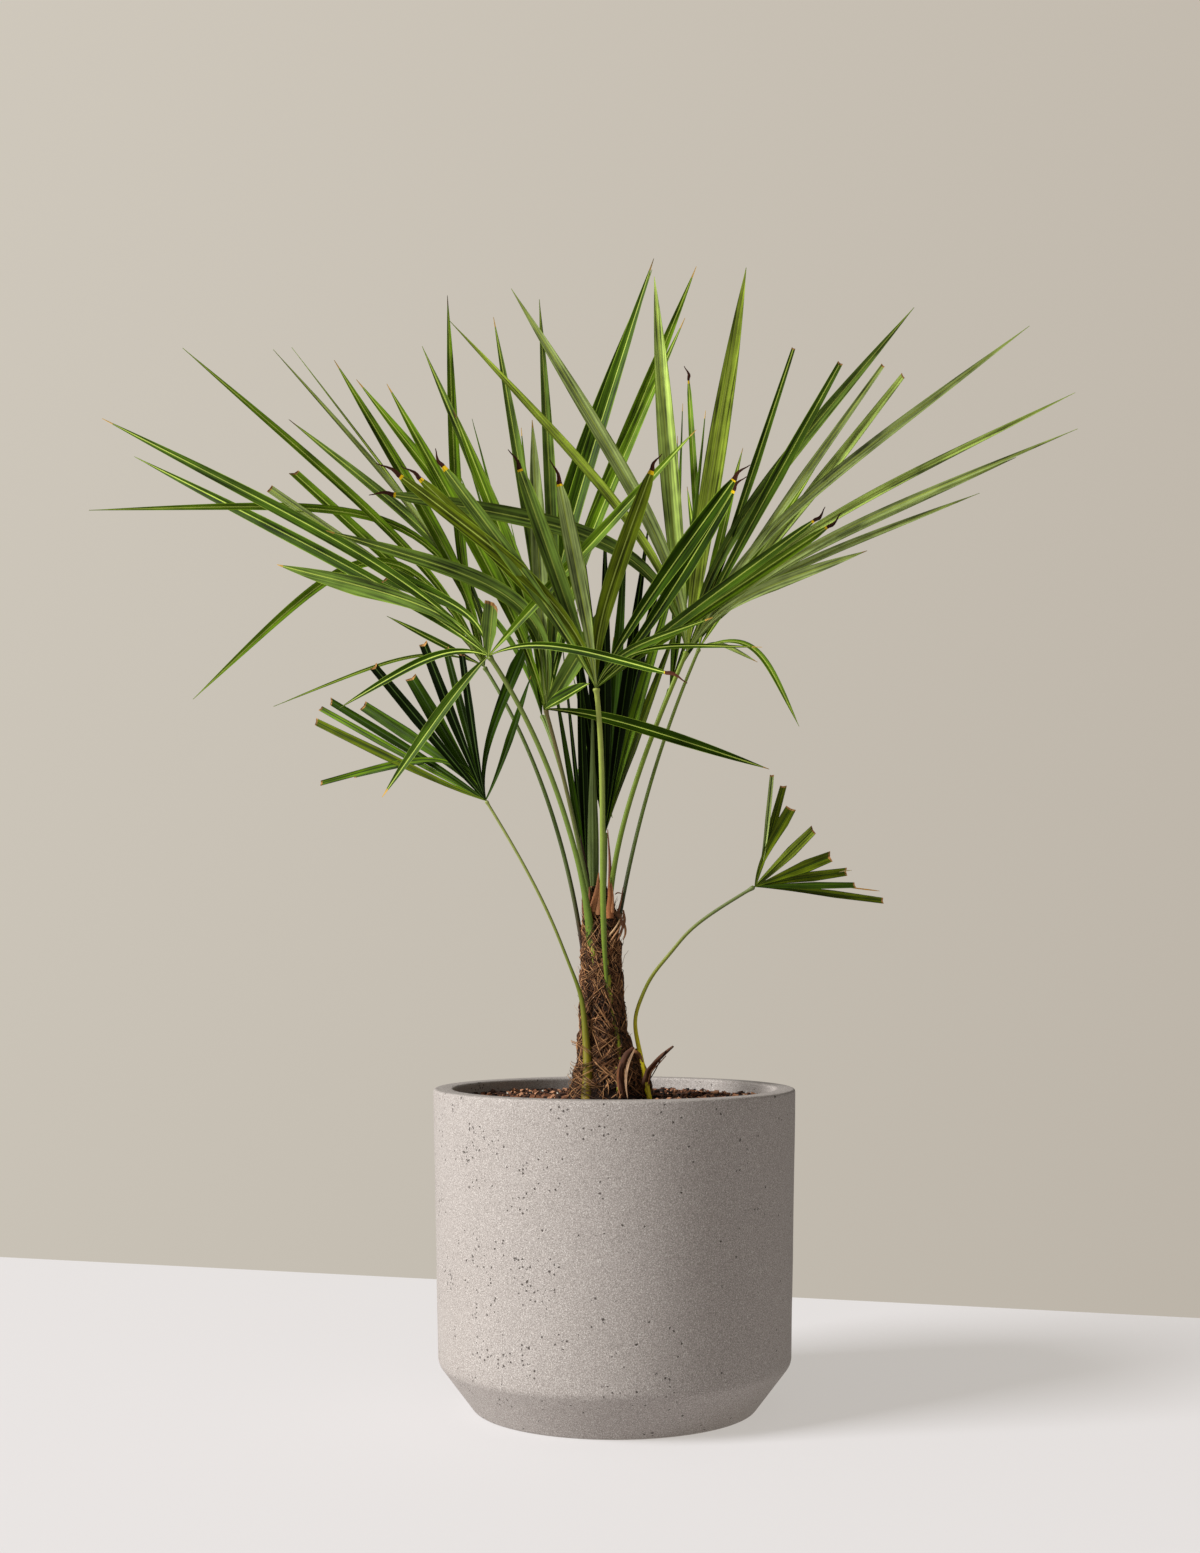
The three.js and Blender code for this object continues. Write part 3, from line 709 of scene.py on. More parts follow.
def makeTrunk():
    turn = fullTurn(trunk["sides"])[None]
    height = np.linspace(0, trunk["top"], trunk["stations"])[:, None]
    bark = barkWithGapShade()
    addPiece("trunkSkin", *tubeOf(trunkSkin(turn, height)), [bark], "bark", ["trunk"])
    turn, height = fullTurn(trunk["moundSides"])[None], height[:trunk["moundStations"]]
    rings = moundSkin(turn, height, -trunk["moundInset"])
    addPiece("moundSkin", *tubeOf(rings), [bark], "bark", [])

    chance = np.random.default_rng(trunk["seed"])
    t = np.linspace(0, 1, trunk["strandStations"])[None]
    bunches = [lyingFibres(chance, t), *bundledFibres(chance, t), moundFibres(chance, t)]
    paths, radii, kinds = (np.concatenate([bunch[k] for bunch in bunches]) for k in range(3))
    colours = [strandFinish(f"fibre{k}", colour) for k, colour in enumerate(trunk["fibreColours"])]
    addPiece("trunkFibres", *strands(paths, radii), colours, "bark", [], kinds=strandKinds(kinds, t.size))
    paths, radii, kinds = strayHairs(chance, t)
    addPiece("trunkHairs", *strands(paths, radii), colours[::2], "bark", [], kinds=strandKinds(kinds, t.size))


makeTrunk()

# green sheaths of the stalks, which show under the fibres

sheaths = {
    "strips": [  # places of the middle (across, height above the ground), the width at each, and the lift
        ([(-29, 372), (-28, 356), (-28, 340), (-28, 326), (-27, 314)], [5, 8, 10, 9, 4], 1.6),
        ([(-27, 314), (-27, 306), (-27, 299)], [9, 11, 9], 0.8),
        ([(-28, 492), (-26, 475), (-24, 460), (-22, 443), (-21, 426)], [8, 11, 10, 7, 3], 0.9),
        ([(-9, 436), (-6, 412), (-3, 392)], [6, 8, 4], 1.0),
        ([(-3, 388), (0, 376), (2, 362)], [4, 8, 4], 0.5),
        ([(2, 366), (5, 352), (6, 336)], [4, 9, 5], 0.6),
        ([(2, 330), (4, 318), (3, 306)], [3, 6, 3], 0.4),
    ],
    "stations": 26, "thickness": 1.4, "curl": -0.5, "middle": (-10, 0, 0), "fadeFrom": 0.12,
    "colour": (108, 112, 14),
}


def roundBlade(upper):
    # places from 1 to -1 across a blade's upper side and back along its under side, with 1 or -1 for the side
    across = np.concatenate([upper, upper[::-1][1:-1]])
    return across, np.concatenate([np.ones(len(upper)), -np.ones(len(upper) - 2)])


def ribbon(middle, side, up, width, thickness, curl, corners=7):
    # a flat blade along a path: across its width it curls up by curl times the share from its middle squared
    across, face = roundBlade(np.linspace(1, -1, corners))
    wide = across * width[:, None] / 2
    depth = curl * across ** 2 * width[:, None] / 2
    flat = depth + face * thickness / 2 * (1 - 0.85 * np.abs(across) ** 3)
    return swept(middle, side, up, wide, flat)


def spreadOver(values, count):
    # a few values spaced evenly along a path, as one value for each station
    return np.interp(np.linspace(0, 1, count), np.linspace(0, 1, len(values)), values)


def greenFinish(name, colour, streak, rough=0.5):
    finish = Finish(name, {"Specular IOR Level": 0.4})
    place = finish.place()
    long = finish.noise(finish.scaled(place, (1.0, 1.0, 0.12)), 900.0, 3, 0.6)
    wide = finish.noise(place, 45.0, 2, 0.5)
    tone = finish.mottled(long * 0.6 + wide * 0.4, colour, 1 - streak, 1 + streak)
    return finish.set(colour=tone, roughness=rough + long * 0.15, normal=finish.bump(long, 0.0003, 0.5))


def makeSheaths():
    parts, count = [], sheaths["stations"]
    for places, widths, lift in sheaths["strips"]:
        run = curveThrough(places, count)
        fade = np.sin(math.pi * np.linspace(sheaths["fadeFrom"], 1, count)) ** 0.5
        middle = onFront(run[:, 0], run[:, 1], lift * fade)
        _, side, up = framed(middle, unit((middle - sheaths["middle"]) * [1, 1, 0]))
        width = spreadOver(widths, count)
        parts.append(tubeOf(ribbon(middle, side, up, width, sheaths["thickness"], sheaths["curl"])))
    finish = greenFinish("sheathGreen", sheaths["colour"], 0.5)
    addPiece("greenSheaths", *joined(parts), [finish], "stalk", [])


makeSheaths()

# dried leaf bases at the foot of the trunk, papery tips at its top, loose dry strips, and the unopened leaf

dried = {
    "dead_boot": {
        "places": [(30, -15, 300), (34, -17, 314), (36.5, -18, 325), (42, -19, 333), (49, -20, 341),
                   (58.5, -21, 350)],
        "widths": [14, 13, 10.5, 8, 5.5, 2], "across": (0.35, 1, 0), "thickness": 1.4, "colour": (72, 46, 30),
        "seed": 9,
    },
    "peeled_sheath": {
        "places": [(10, -36, 299), (7.5, -39, 311), (7, -41, 322), (9, -40, 333), (13, -38, 342),
                   (19, -35, 349)],
        "widths": [7, 8, 8.5, 8, 6.5, 3.5], "across": (1, 0.5, 0), "thickness": 1.8, "colour": (66, 40, 26),
        "seed": 13,
    },
}
papery = {
    "thickness": 0.8, "stations": 18,
    "tipWidths": (0.9, 1, 0.62), "pointWidth": 0.8,  # shares of the width, and the width of the point
    "tipCurl": 0.5, "tipTwist": 0.6, "tipBow": 1.5, "tipRoot": 0.15,
    "tips": [  # foot, top, width, colour, and the way across the strip, as an angle about the upright
        ((-20, -18, 488), (-15.5, -17, 522), 10, (140, 92, 60), -0.2),
        ((-15, -19, 484), (-14.5, -18, 512), 8, (152, 106, 72), 0.2),
        ((-27, -15, 488), (-25, -14, 508), 5, (104, 62, 40), -0.4),
        ((-4, -19, 482), (-5.5, -17, 519), 9, (132, 82, 48), 0.3),
        ((-1.5, -18, 486), (-3, -16, 512), 5, (164, 112, 74), 0.6),
        ((-4, -10, 492), (-6.5, -9, 566), 6, (112, 70, 52), 0.2),
        ((-26, -10, 495), (-34, -10, 560), 7, (44, 27, 17), -0.3),
        ((-28, -12, 497), (-36, -12, 556), 2.5, (112, 62, 40), -0.3),
        ((4, 3, 478), (9, 4, 508), 8, (110, 74, 50), 1.2),
        ((-26, 8, 470), (-32, 12, 505), 8, (106, 70, 48), 2.4),
        ((-12, 15, 476), (-13, 22, 512), 9, (110, 74, 50), 3.1),
        ((1, -4, 452), (8, -5, 482), 8, (112, 76, 50), 0.9),
    ],
    "looseWidths": (0.5, 1, 1, 0.8, 0.3), "looseCurl": 0.4, "looseTwist": 0.5,
    "loose": [  # places along a dry strip, its widest width, colour and the direction across it
        ([(20, -41, 349), (16, -43, 341), (12.8, -44, 332), (11.2, -45, 322), (11.2, -44, 312),
          (13, -42, 300)], 2.6, (206, 166, 130), (1, 0.2, 0)),
        ([(5.5, -42, 336), (3, -43, 325), (3.5, -43, 312), (6, -42, 300)], 1.8, (128, 84, 54), (1, 0.2, 0)),
        ([(238, 11, 508.3), (256, 14, 506.4), (270, 17, 505)], 1.3, (206, 150, 50), (0, 0.2, 1)),
        ([(228, 7, 523.5), (234, 8, 525), (241, 9, 525.6)], 1.0, (196, 180, 120), (0, 0.2, 1)),
        ([(31, -19, 317), (33, -22, 307), (34, -23, 299)], 4, (140, 128, 26), (1, 0.3, 0)),
        ([(18, -30, 346), (24, -31, 343), (28, -30, 335)], 3.5, (110, 74, 48), (0.9, 0.2, 0.4)),
        ([(33, -21, 312), (37, -22, 325), (44, -23, 333), (51, -23, 341)], 3, (112, 76, 50), (0.4, 1, 0)),
        ([(35, -24, 318), (41, -25, 328), (47, -24, 340), (51, -23, 346)], 2, (40, 24, 14), (0.4, 1, 0)),
        ([(-8, -16, 455), (-2, -18, 463), (4, -15, 472), (9, -10, 483)], 2.2, (198, 160, 118), (1, 0, 0.6)),
        ([(-5, -17, 452), (2, -17, 462), (7, -13, 472), (10, -9, 484)], 1.8, (170, 126, 88), (1, 0.3, 0.4)),
        ([(9, -10, 485), (10, -12, 474), (7, -14, 464), (3, -17, 454)], 3.0, (104, 70, 45), (1, 0.4, 0)),
        ([(3, -12, 486), (6, -14, 478), (8, -14, 468), (6, -15, 458)], 2.6, (84, 55, 36), (1, 0.6, 0)),
        ([(5, -12, 478), (10, -10, 470), (11, -10, 462), (9, -11, 455)], 2.6, (140, 98, 64), (1, 0.6, 0)),
        ([(1, 1, 501), (4, -2, 502.5), (8, -4, 501.5)], 1.4, (96, 62, 40), (0, 0.3, 1)),
        ([(-24, -12, 470), (-28, -10, 484), (-30, -8, 496)], 2.4, (110, 74, 50), (1, 0.2, 0)),
        ([(-26, -14, 500), (-30, -12, 488), (-29, -13, 478)], 1.5, (150, 110, 60), (1, 0.2, 0)),
    ],
}
spear = {
    "foot": (-21, 0, 495), "tip": (-22, 5, 682), "width": 11, "thickness": 8.5, "colour": (70, 84, 26),
    "stations": 60, "sides": 44, "pleats": 9, "pleatDepth": 0.09, "pleatTwist": 2.5,
}


def papyrus(name, colour, rough=0.8):
    finish = Finish(name, {"Specular IOR Level": 0.25, "Roughness": rough})
    place = finish.place()
    fine = finish.noise(finish.scaled(place, (1.0, 1.0, 0.12)), 460.0, 4, 0.7)
    wide = finish.noise(place, 130.0, 2, 0.5)
    tone = finish.mottled(fine * 0.5 + wide * 0.5, colour, 0.35, min(1.5, 235 / max(colour)))
    return finish.set(colour=tone, normal=finish.bump(fine, 0.0006, 0.8))


def bladeAlong(places, widths, across, curl, turnEnd, thickness, count):
    # a ribbon along a smooth line; its flat side starts along across and turns by turnEnd towards the tip
    middle = curveThrough(places, count)
    tangent = unit(np.gradient(middle, axis=0))
    across = np.array(across, float)
    side = unit(across - tangent * (tangent @ across)[:, None])
    side, up = twisted(side, np.cross(tangent, side), np.linspace(0, 1, count) ** 1.5 * turnEnd)
    return tubeOf(ribbon(middle, side, up, spreadOver(widths, count), thickness, curl, corners=9))


def makeDried():
    for name, look in dried.items():
        blade = bladeAlong(look["places"], look["widths"], look["across"], 0.9, 0.5, look["thickness"], 36)
        points = blade[0] + 0.5 * ripple(blade[0], 14, look["seed"])[:, None] * np.array([1, 0.4, 0.3])
        finish = papyrus(name, look["colour"])
        addPiece(name.replace("_", "") + "Blade", points, *blade[1:], [finish], "dry_leaf", [name])


def makePapery():
    # a tip starts a little under its foot, and its middle bows the way across it
    strips, colours = [], []
    for foot, top, width, colour, facing in papery["tips"]:
        foot, top = np.array(foot, float), np.array(top, float)
        across = np.array([math.cos(facing), math.sin(facing), 0])
        root, middle = foot - (top - foot) * papery["tipRoot"], (foot + top) / 2 + across * papery["tipBow"]
        widths = [*(width * share for share in papery["tipWidths"]), papery["pointWidth"]]
        strips.append(([root, foot, middle, top], widths, across, papery["tipCurl"], papery["tipTwist"]))
        colours.append(colour)
    for places, width, colour, across in papery["loose"]:
        widths = [width * share for share in papery["looseWidths"]]
        strips.append((places, widths, across, papery["looseCurl"], papery["looseTwist"]))
        colours.append(colour)
    parts = [bladeAlong(*strip, papery["thickness"], papery["stations"]) for strip in strips]
    kinds = [np.full(len(part[faces]), k) for faces in (1, 2) for k, part in enumerate(parts)]
    finishes = [papyrus(f"papery{k}", colour, 0.7) for k, colour in enumerate(colours)]
    addPiece("paperyTips", *joined(parts), finishes, "dry_leaf", [], kinds=np.concatenate(kinds))


def makeSpear():
    # the unopened leaf: an oval stem, fullest a third of the way up, with slightly turning pleats down its
    # sides
    foot, tip = np.array(spear["foot"], float), np.array(spear["tip"], float)
    t = np.linspace(0, 1, spear["stations"])[:, None]
    turn = fullTurn(spear["sides"])[None]
    full = (0.75 + 0.35 * np.sin(math.pi * np.minimum(1, t * 1.4))) * (1 - 0.72 * t ** 1.7)
    full = full * (1 + spear["pleatDepth"] * np.cos(turn * spear["pleats"] + t * spear["pleatTwist"]))
    x, y = full * np.cos(turn) * spear["width"] / 2, full * np.sin(turn) * spear["thickness"] / 2
    rings = np.stack([x, y, 0 * x], -1) + (foot + (tip - foot) * t)[:, None]
    finish = greenFinish("spearGreen", spear["colour"], 0.35, 0.55)
    addPiece("spearLeaf", *tubeOf(rings), [finish], "stalk", ["spear"])


makeDried()
makePapery()
makeSpear()

# fronds

# A frond's foot, rise, reach and hub are the four places of its stalk's curve, and stalk is the stalk's
# half width. Its fan turns about the upright and leans back, in degrees. Each leaflet is its angle from
# upright, its length, how far it arches in hundredths of the length, its width, and how far its tip comes
# forward. ends has a letter for each leaflet: p pointed, w withered, c cut. So has the string of tints and
# shading: b bright, m middling, d dark, g greyish, o olive, s sage, k nearly black, l light, n dim. The
# letters give the leaflets' own greens and also painted light and shade: a leaflet takes a brighter or
# darker letter where it is to look lit or shaded, and k is painted shade deep in the crown.
# The rest is there where a frond needs it. foothold is the stalk's share of its size at the foot, and grip
# the share of its length that it takes to get there. bend moves its foot across and back. Each of bows
# moves a stretch of it across, and says how far, where and how long. depth is the way in which the fan's
# leaflets come forward. redrawn holds leaflets that are drawn narrower, wider or straighter than they are
# planned, and breadth multiplies all widths. taper is how much a cut leaflet narrows to its end, and rising
# how slowly a pointed one widens.
fronds = [
    {"name": "front", "foot": (-7, -22, 405), "rise": (-16, -33, 505), "reach": (-7, -73, 604),
     "hub": (-18, -115, 695), "stalk": 2.8, "foothold": 0.45, "turn": 0, "lean": -15,
     "ends": "wwwwwwwwwwpp", "tintsAndShading": "ooggsoddnmnd", "bend": (0, 4),
     "redrawn": {8: (53, 270, 1, 11.5), 9: (54.5, 290, 1, 12), 10: (63, 120, 12, 8, 60),
                 11: (77.5, 160, 15, 5, 40)},
     "leaflets": [(-44, 290, 9, 15), (-40, 285, 5, 15), (-35, 265, 2, 15), (-19, 245, 0, 17),
                  (-10.5, 215, 1, 16), (14.5, 235, 5, 17), (34, 250, 2, 17), (34, 250, -3, 16),
                  (53, 270, 1, 17), (54.5, 290, 1, 17), (63, 120, 12, 12, 60), (77.5, 160, 15, 9, 40)]},
    {"name": "left_front", "foot": (-19, -19, 452), "rise": (-37, -28, 553), "reach": (-66, -61, 649),
     "hub": (-122, -95, 729), "stalk": 2.7, "foothold": 1.75, "turn": -18, "lean": -8, "ends": "pppppccpw",
     "tintsAndShading": "ndgnnngmd", "bend": (-4, 7),
     "redrawn": {2: (-66, 240, 8, 21), 3: (-59, 455, 2, 13), 4: (-58, 475, 4, 12.5), 5: (-50, 135, 14, 19),
                 8: (101, 200, 8, 8.5, 30)},
     "leaflets": [(-139, 180, 2, 12), (-104.5, 170, 10, 9), (-66, 240, 8, 13), (-59, 455, 2, 10.5),
                  (-58, 475, 4, 10), (-50, 135, 14, 12), (28, 30, 0, 16, 130), (46, 305, 0, 13),
                  (101, 200, 8, 11, 30)]},
    {"name": "left_back", "foot": (-31, -2, 441), "rise": (-45, 3, 540), "reach": (-76, 21, 645),
     "hub": (-135, 40, 739), "stalk": 2.2, "turn": 15, "lean": 8, "ends": "ppppccpppppp",
     "tintsAndShading": "mmmnsmmgsgmm",
     "redrawn": {0: (-104, 220, 11, 4)},
     "leaflets": [(-104, 220, 16, 4), (-98, 305, 41, 9.5), (-70.5, 415, 26, 9), (-63, 115, 0, 7),
                  (-51, 280, 5, 9), (-44, 290, 3, 11), (-43.5, 440, 6, 9.5), (-37.5, 340, 13, 13),
                  (-33, 390, 8, 7.5), (-30, 410, 6, 3.5), (-25, 355, 5, 14), (-4.5, 435, -3, 13)]},
    {"name": "low_left", "foot": (-26, -27, 301), "rise": (-21, -14, 412), "reach": (-73, -34, 504),
     "hub": (-127, -50, 592), "stalk": 1.6, "breadth": 1.2, "foothold": 3.3, "grip": 0.42,
     "bows": [(2.8, 0.31, 0.09)], "bend": (-1.5, -5), "turn": -15, "lean": 5, "ends": "cccccccccccpp",
     "tintsAndShading": "mnomdnkdkdkdd",
     "redrawn": {0: (-83.5, 175, 20, 4.6), 1: (-78.5, 145, 22, 4.2)},
     "leaflets": [(-83.5, 175, 20, 7), (-78.5, 145, 22, 7), (-65.5, 200, -1, 7), (-61, 210, 0, 5.5),
                  (-58, 200, 1, 7), (-53, 170, 4, 10), (-41.5, 185, 0, 8.5), (-33, 155, 0, 11.5),
                  (-23.5, 175, 0, 9), (-17, 165, 0, 6.5), (-11, 150, -1, 6.5), (14, 180, 7, 19),
                  (19.5, 130, -2, 7)]},
    {"name": "low_right", "foot": (32, 8, 310), "rise": (9, 0, 423), "reach": (46, -6, 452),
     "hub": (140, -25, 508), "stalk": 1.9, "foothold": 1.45, "turn": 20, "lean": 5, "ends": "cccccccc",
     "tintsAndShading": "sooboono", "bows": [(-4.5, 0.22, 0.1), (5.5, 0.57, 0.14)], "bend": (0, -26),
     "leaflets": [(11.5, 115, -3, 5), (19.5, 110, 0, 8), (28, 90, 5, 12), (49, 90, 0, 10.5), (70, 90, 0, 12),
                  (81, 105, 1, 9.5), (89, 110, 0, 7), (95, 145, 1, 7)]},
    {"name": "inner_left", "foot": (-24, -10, 495), "rise": (-37, -16, 559), "reach": (-51, -35, 622),
     "hub": (-68, -55, 682), "stalk": 2.1, "turn": 8, "lean": 6, "ends": "ppppppppppp",
     "tintsAndShading": "gmmgmgsggnd",
     "leaflets": [(-51.5, 270, 24, 17), (-29, 400, 8, 17), (-25.5, 360, 3, 16), (-18, 410, 4, 14),
                  (-16.5, 315, 4, 15), (-7, 430, 2, 13), (-2, 295, 0, 19), (-0.5, 450, 2, 13),
                  (34, 130, 0, 18, 110), (81, 45, 0, 16, 140), (105, 230, 3, 12)]},
    {"name": "tall_back", "foot": (-23, 15, 470), "rise": (-32, 21, 543), "reach": (-49, 41, 616),
     "hub": (-72, 62, 692), "stalk": 1.8, "turn": -5, "lean": 10, "ends": "pppppp", "tintsAndShading": "mdnnmm",
     "leaflets": [(-18.5, 420, 5, 16), (9, 260, 0, 12, -120), (12, 525, 4, 20), (11.5, 550, 6, 20),
                  (18, 465, 4, 16), (16.5, 565, 3, 18)]},
    {"name": "right_front", "foot": (-6, -14, 485), "rise": (2, -16, 575), "reach": (37, -23, 660),
     "hub": (73, -30, 744), "stalk": 2.6, "turn": 16, "lean": -4, "taper": 0.56, "ends": "wppppccpccpppppp",
     "tintsAndShading": "gbslbnngslslssss", "bend": (1, 3),
     "redrawn": {12: (60.5, 220, 8.5, 13)},
     "leaflets": [(-67, 350, 17, 17), (-38, 410, 7, 12), (-29, 385, 6, 16), (-6, 390, -1, 21),
                  (8, 385, 1, 22), (19, 345, -1, 8.5), (28, 335, 1, 12), (33, 460, 6, 14), (34.5, 360, 1, 9),
                  (37.5, 390, 0, 12), (46.5, 505, 6, 10.5), (55, 545, 6, 9.5), (60.5, 220, 12, 10),
                  (58, 440, 6, 10), (60, 490, 6, 8), (60, 380, 6, 8.5)]},
    {"name": "right_back", "foot": (4, 4, 470), "rise": (20, 13, 565), "reach": (48, 43, 663),
     "hub": (91, 75, 764), "stalk": 2, "turn": -12, "lean": 12, "ends": "pwppppp", "tintsAndShading": "mmmdmsm",
     "leaflets": [(-3.5, 225, 3, 9, -150), (-3.5, 350, 1, 8), (10.5, 265, 1, 10, -120), (21, 255, 3, 9, -150),
                  (30, 255, 0, 10, -90), (105, 65, 14, 5), (131, 140, 25, 6.5)]},
    {"name": "young", "foot": (-11, 6, 496), "rise": (-10, 9, 520), "reach": (-9, 16, 542),
     "hub": (-9, 20, 565), "stalk": 2.6, "turn": 0, "lean": 6, "ends": "pppppppp", "tintsAndShading": "kkkdkkmo",
     "rising": 0.4,
     "leaflets": [(-9, 260, 0, 13, 14), (-4, 300, 0, 14, -10), (0, 325, 0, 14, 18), (4, 335, 0, 14, -8),
                  (8, 330, 0, 14, 16), (12, 320, 1, 14, -10), (15.5, 300, 1, 13, 10), (19, 250, 1, 11)]},
    {"name": "folded", "foot": (-22, 7, 494), "rise": (-25, 9, 503), "reach": (-27, 10, 511),
     "hub": (-28, 11, 521), "stalk": 2.4, "turn": 0, "lean": 4, "ends": "pppp", "tintsAndShading": "dkkk",
     "rising": 0.3,
     "leaflets": [(-9.5, 228, 0, 7, 8), (-6, 262, 0, 5, -6), (-2, 272, 0, 10, 8), (1.5, 243, 0, 10, -6)]},
    {"name": "rear_left", "foot": (-17, 20, 455), "rise": (-32, 36, 530), "reach": (-45, 82, 620),
     "hub": (-78, 135, 700), "stalk": 2.3, "turn": 100, "lean": 8, "ends": "pppppppp", "tintsAndShading": "mdmdmdmd",
     "depth": (1, 0, 0),
     "leaflets": [(-26, 290, 2, 14), (-12, 310, 2, 14), (2, 335, 3, 14), (15, 350, 4, 14), (28, 355, 5, 14),
                  (41, 355, 6, 14), (54, 345, 7, 14), (66, 330, 8, 14)]},
    {"name": "rear_right", "foot": (-6, 16, 468), "rise": (-8, 26, 520), "reach": (18, 84, 620),
     "hub": (62, 140, 730), "stalk": 2.3, "turn": 80, "lean": -8, "ends": "pppppppp", "tintsAndShading": "mmdmdmmd",
     "depth": (1, 0, 0),
     "leaflets": [(-28, 280, 2, 14), (-14, 300, 2, 14), (0, 320, 3, 14), (13, 345, 4, 14), (26, 355, 5, 14),
                  (38, 355, 6, 14), (50, 350, 7, 14), (62, 340, 8, 14)]},
    {"name": "rear_low", "foot": (-14, 18, 430), "rise": (-17, 46, 500), "reach": (-20, 110, 560),
     "hub": (-22, 165, 600), "stalk": 2.3, "turn": 90, "lean": 0, "ends": "pppppp", "tintsAndShading": "dmdmdm",
     "depth": (1, 0, 0),
     "leaflets": [(20, 240, 4, 13), (35, 265, 5, 13), (50, 280, 6, 13), (63, 285, 7, 13), (76, 275, 8, 13),
                  (88, 255, 9, 13)]},
]
crossing = {"samples": 30, "step": 18, "tries": 9, "clearance": 5, "widthShare": 0.7}
plan = {  # half widths, splay and arch that decide where leaflets pass each other
    "stations": [0, 0.15, 0.42, 0.75, 1], "pointed": [0.2, 0.6, 1, 0.66, 0.06], "cut": [0.2, 0.5, 0.85, 1, 1],
    "crowded": 6, "splay": 0.09, "archPeak": 1.869,
}
leaf = {
    "stations": 34, "spacing": 0.92, "dryEdge": 1.6, "twist": 0.28,
    "rising": 0.8, "falling": {"p": 0.95, "w": 0.8, "c": 0.5},
    "start": 0.2,  # the share of the width at the hub
    "cutWidth": 1.12, "cutFrom": 0.6, "taper": 0.2,  # a cut leaflet is widest at cutFrom
    "varied": (0.95, 1.05), "gap": 0.3, "least": 0.25,  # room left to a neighbour, and the least half width
    "across": np.array([1, 0.92, 0.6, 0.28, 0.06, -0.06, -0.28, -0.6, -0.92, -1]),
    "ribColumn": 4,  # the place across that moves to the rib's side, as its mirror image does
    "fold": (0.78, 0.42), "unfolding": 1.6,  # slope of each half near the hub and further out, and how fast
    "thickness": 0.9, "edge": 0.22, "pleat": 0.35, "pleats": 9,
    "rib": 0.4, "ribWidth": 1.0, "ribShares": (0.06, 0.26), "ribReach": 0.08,
    "slant": (-0.5, 0.5), "notch": (0.1, 0.55),  # how far a cut end is oblique and hollow
    "trimmed": (0.9, 0.1),  # where along a cut leaflet this starts, and over what share
    "tail": (13, 24), "golden": (1.5, 6.5),  # lengths of a withered one's brown tail and the yellow before it
    "wilt": (2, 3), "thinning": (0.42, 16, 14),  # it wilts about its tail's start, and thins before that
    "whole": 0.95,  # the share that a withered leaflet has left of its first length
    "tailShares": (0.66, 0.42, 0.2, 0), "tailWidth": (0.4, 1.9), "tailCurl": (3, 1.2),
    "tanShare": 0.6, "tanLength": (3, 12),  # how many pointed leaflets have a tan tip, and its length
    # the colours of the letters mix the leaves' own greens with painted light and shade: the brightest and
    # lightest stand for lit leaflets, and the darkest and the nearly black one for shaded ones
    "tintsAndShading": {
        "b": (144, 164, 56), "m": (81, 107, 16), "d": (36, 56, 4), "g": (86, 107, 41), "o": (81, 94, 14),
        "s": (136, 151, 88), "k": (9, 17, 1), "l": (162, 184, 92), "n": (54, 76, 12),
    },
    "shines": {"d": 0.02, "k": 0.02}, "shine": 0.06,
    # The first ribs are the leaflets' own pale midribs, and the first margins are pale partly as painted
    # highlight along lit edges. The second pair is darker, as painted shade.
    "under": (54, 74, 12), "ribs": ((158, 174, 74), (46, 66, 14)), "margins": ((114, 136, 38), (34, 52, 8)),
    "inShade": ["low_left", "young", "folded", "low_right"],  # the fans inside and under the crown, which take the second, darker ribs and margins as painted shade
    "tan": (160, 128, 60), "yellow": (228, 172, 16), "brown": (50, 27, 18), "dry": (140, 104, 60),
}
stalk = {
    "corners": 12, "stations": 66, "root": 0.07, "grip": 0.24, "bendEnd": 0.3, "flatness": 0.82,
    "girth": (0.87, 0.22), "knob": 0.5, "knobLength": 4, "knobStations": 13, "roundEnd": 2.2,
    "shadePlaces": (0.05, 0.35, 0.85),
    "shades": {  # colours at the foot, a third of the way up, and near the hub
        "front": ((96, 116, 30), (110, 132, 42), (146, 158, 72)),
        "left_front": ((96, 120, 36), (98, 120, 42), (108, 124, 54)),
        "left_back": ((52, 36, 26), (82, 100, 44), (98, 116, 54)),
        "low_left": ((120, 106, 4), (94, 106, 20), (136, 146, 78)),
        # low_right's foot is its own yellow pushed far paler, as painted light where the mound's shadow falls
        # on it
        "low_right": ((250, 234, 36), (140, 146, 40), (92, 104, 50)),
        "right_front": ((98, 120, 26), (106, 128, 32), (120, 140, 40)),
        "right_back": ((50, 52, 28), (92, 110, 44), (126, 144, 62)),
        "inner_left": ((86, 104, 42), (98, 108, 52), (108, 98, 56)),
        "other": ((84, 100, 36), (94, 112, 44), (102, 122, 48)),
    },
}


def directions(frond):
    # across the fan, along its middle, and out of its face
    turn, lean = math.radians(frond["turn"]), math.radians(frond["lean"])
    across = np.array([math.cos(turn), math.sin(turn), 0])
    along = np.array([-math.sin(turn) * math.sin(lean), math.cos(turn) * math.sin(lean), math.cos(lean)])
    return across, along, np.cross(across, along)


def leafletNumbers(frond, place):
    # angle, length, arch, width, and how far forward, which is nought where it isn't given
    return (*frond["leaflets"][place], 0)[:5]


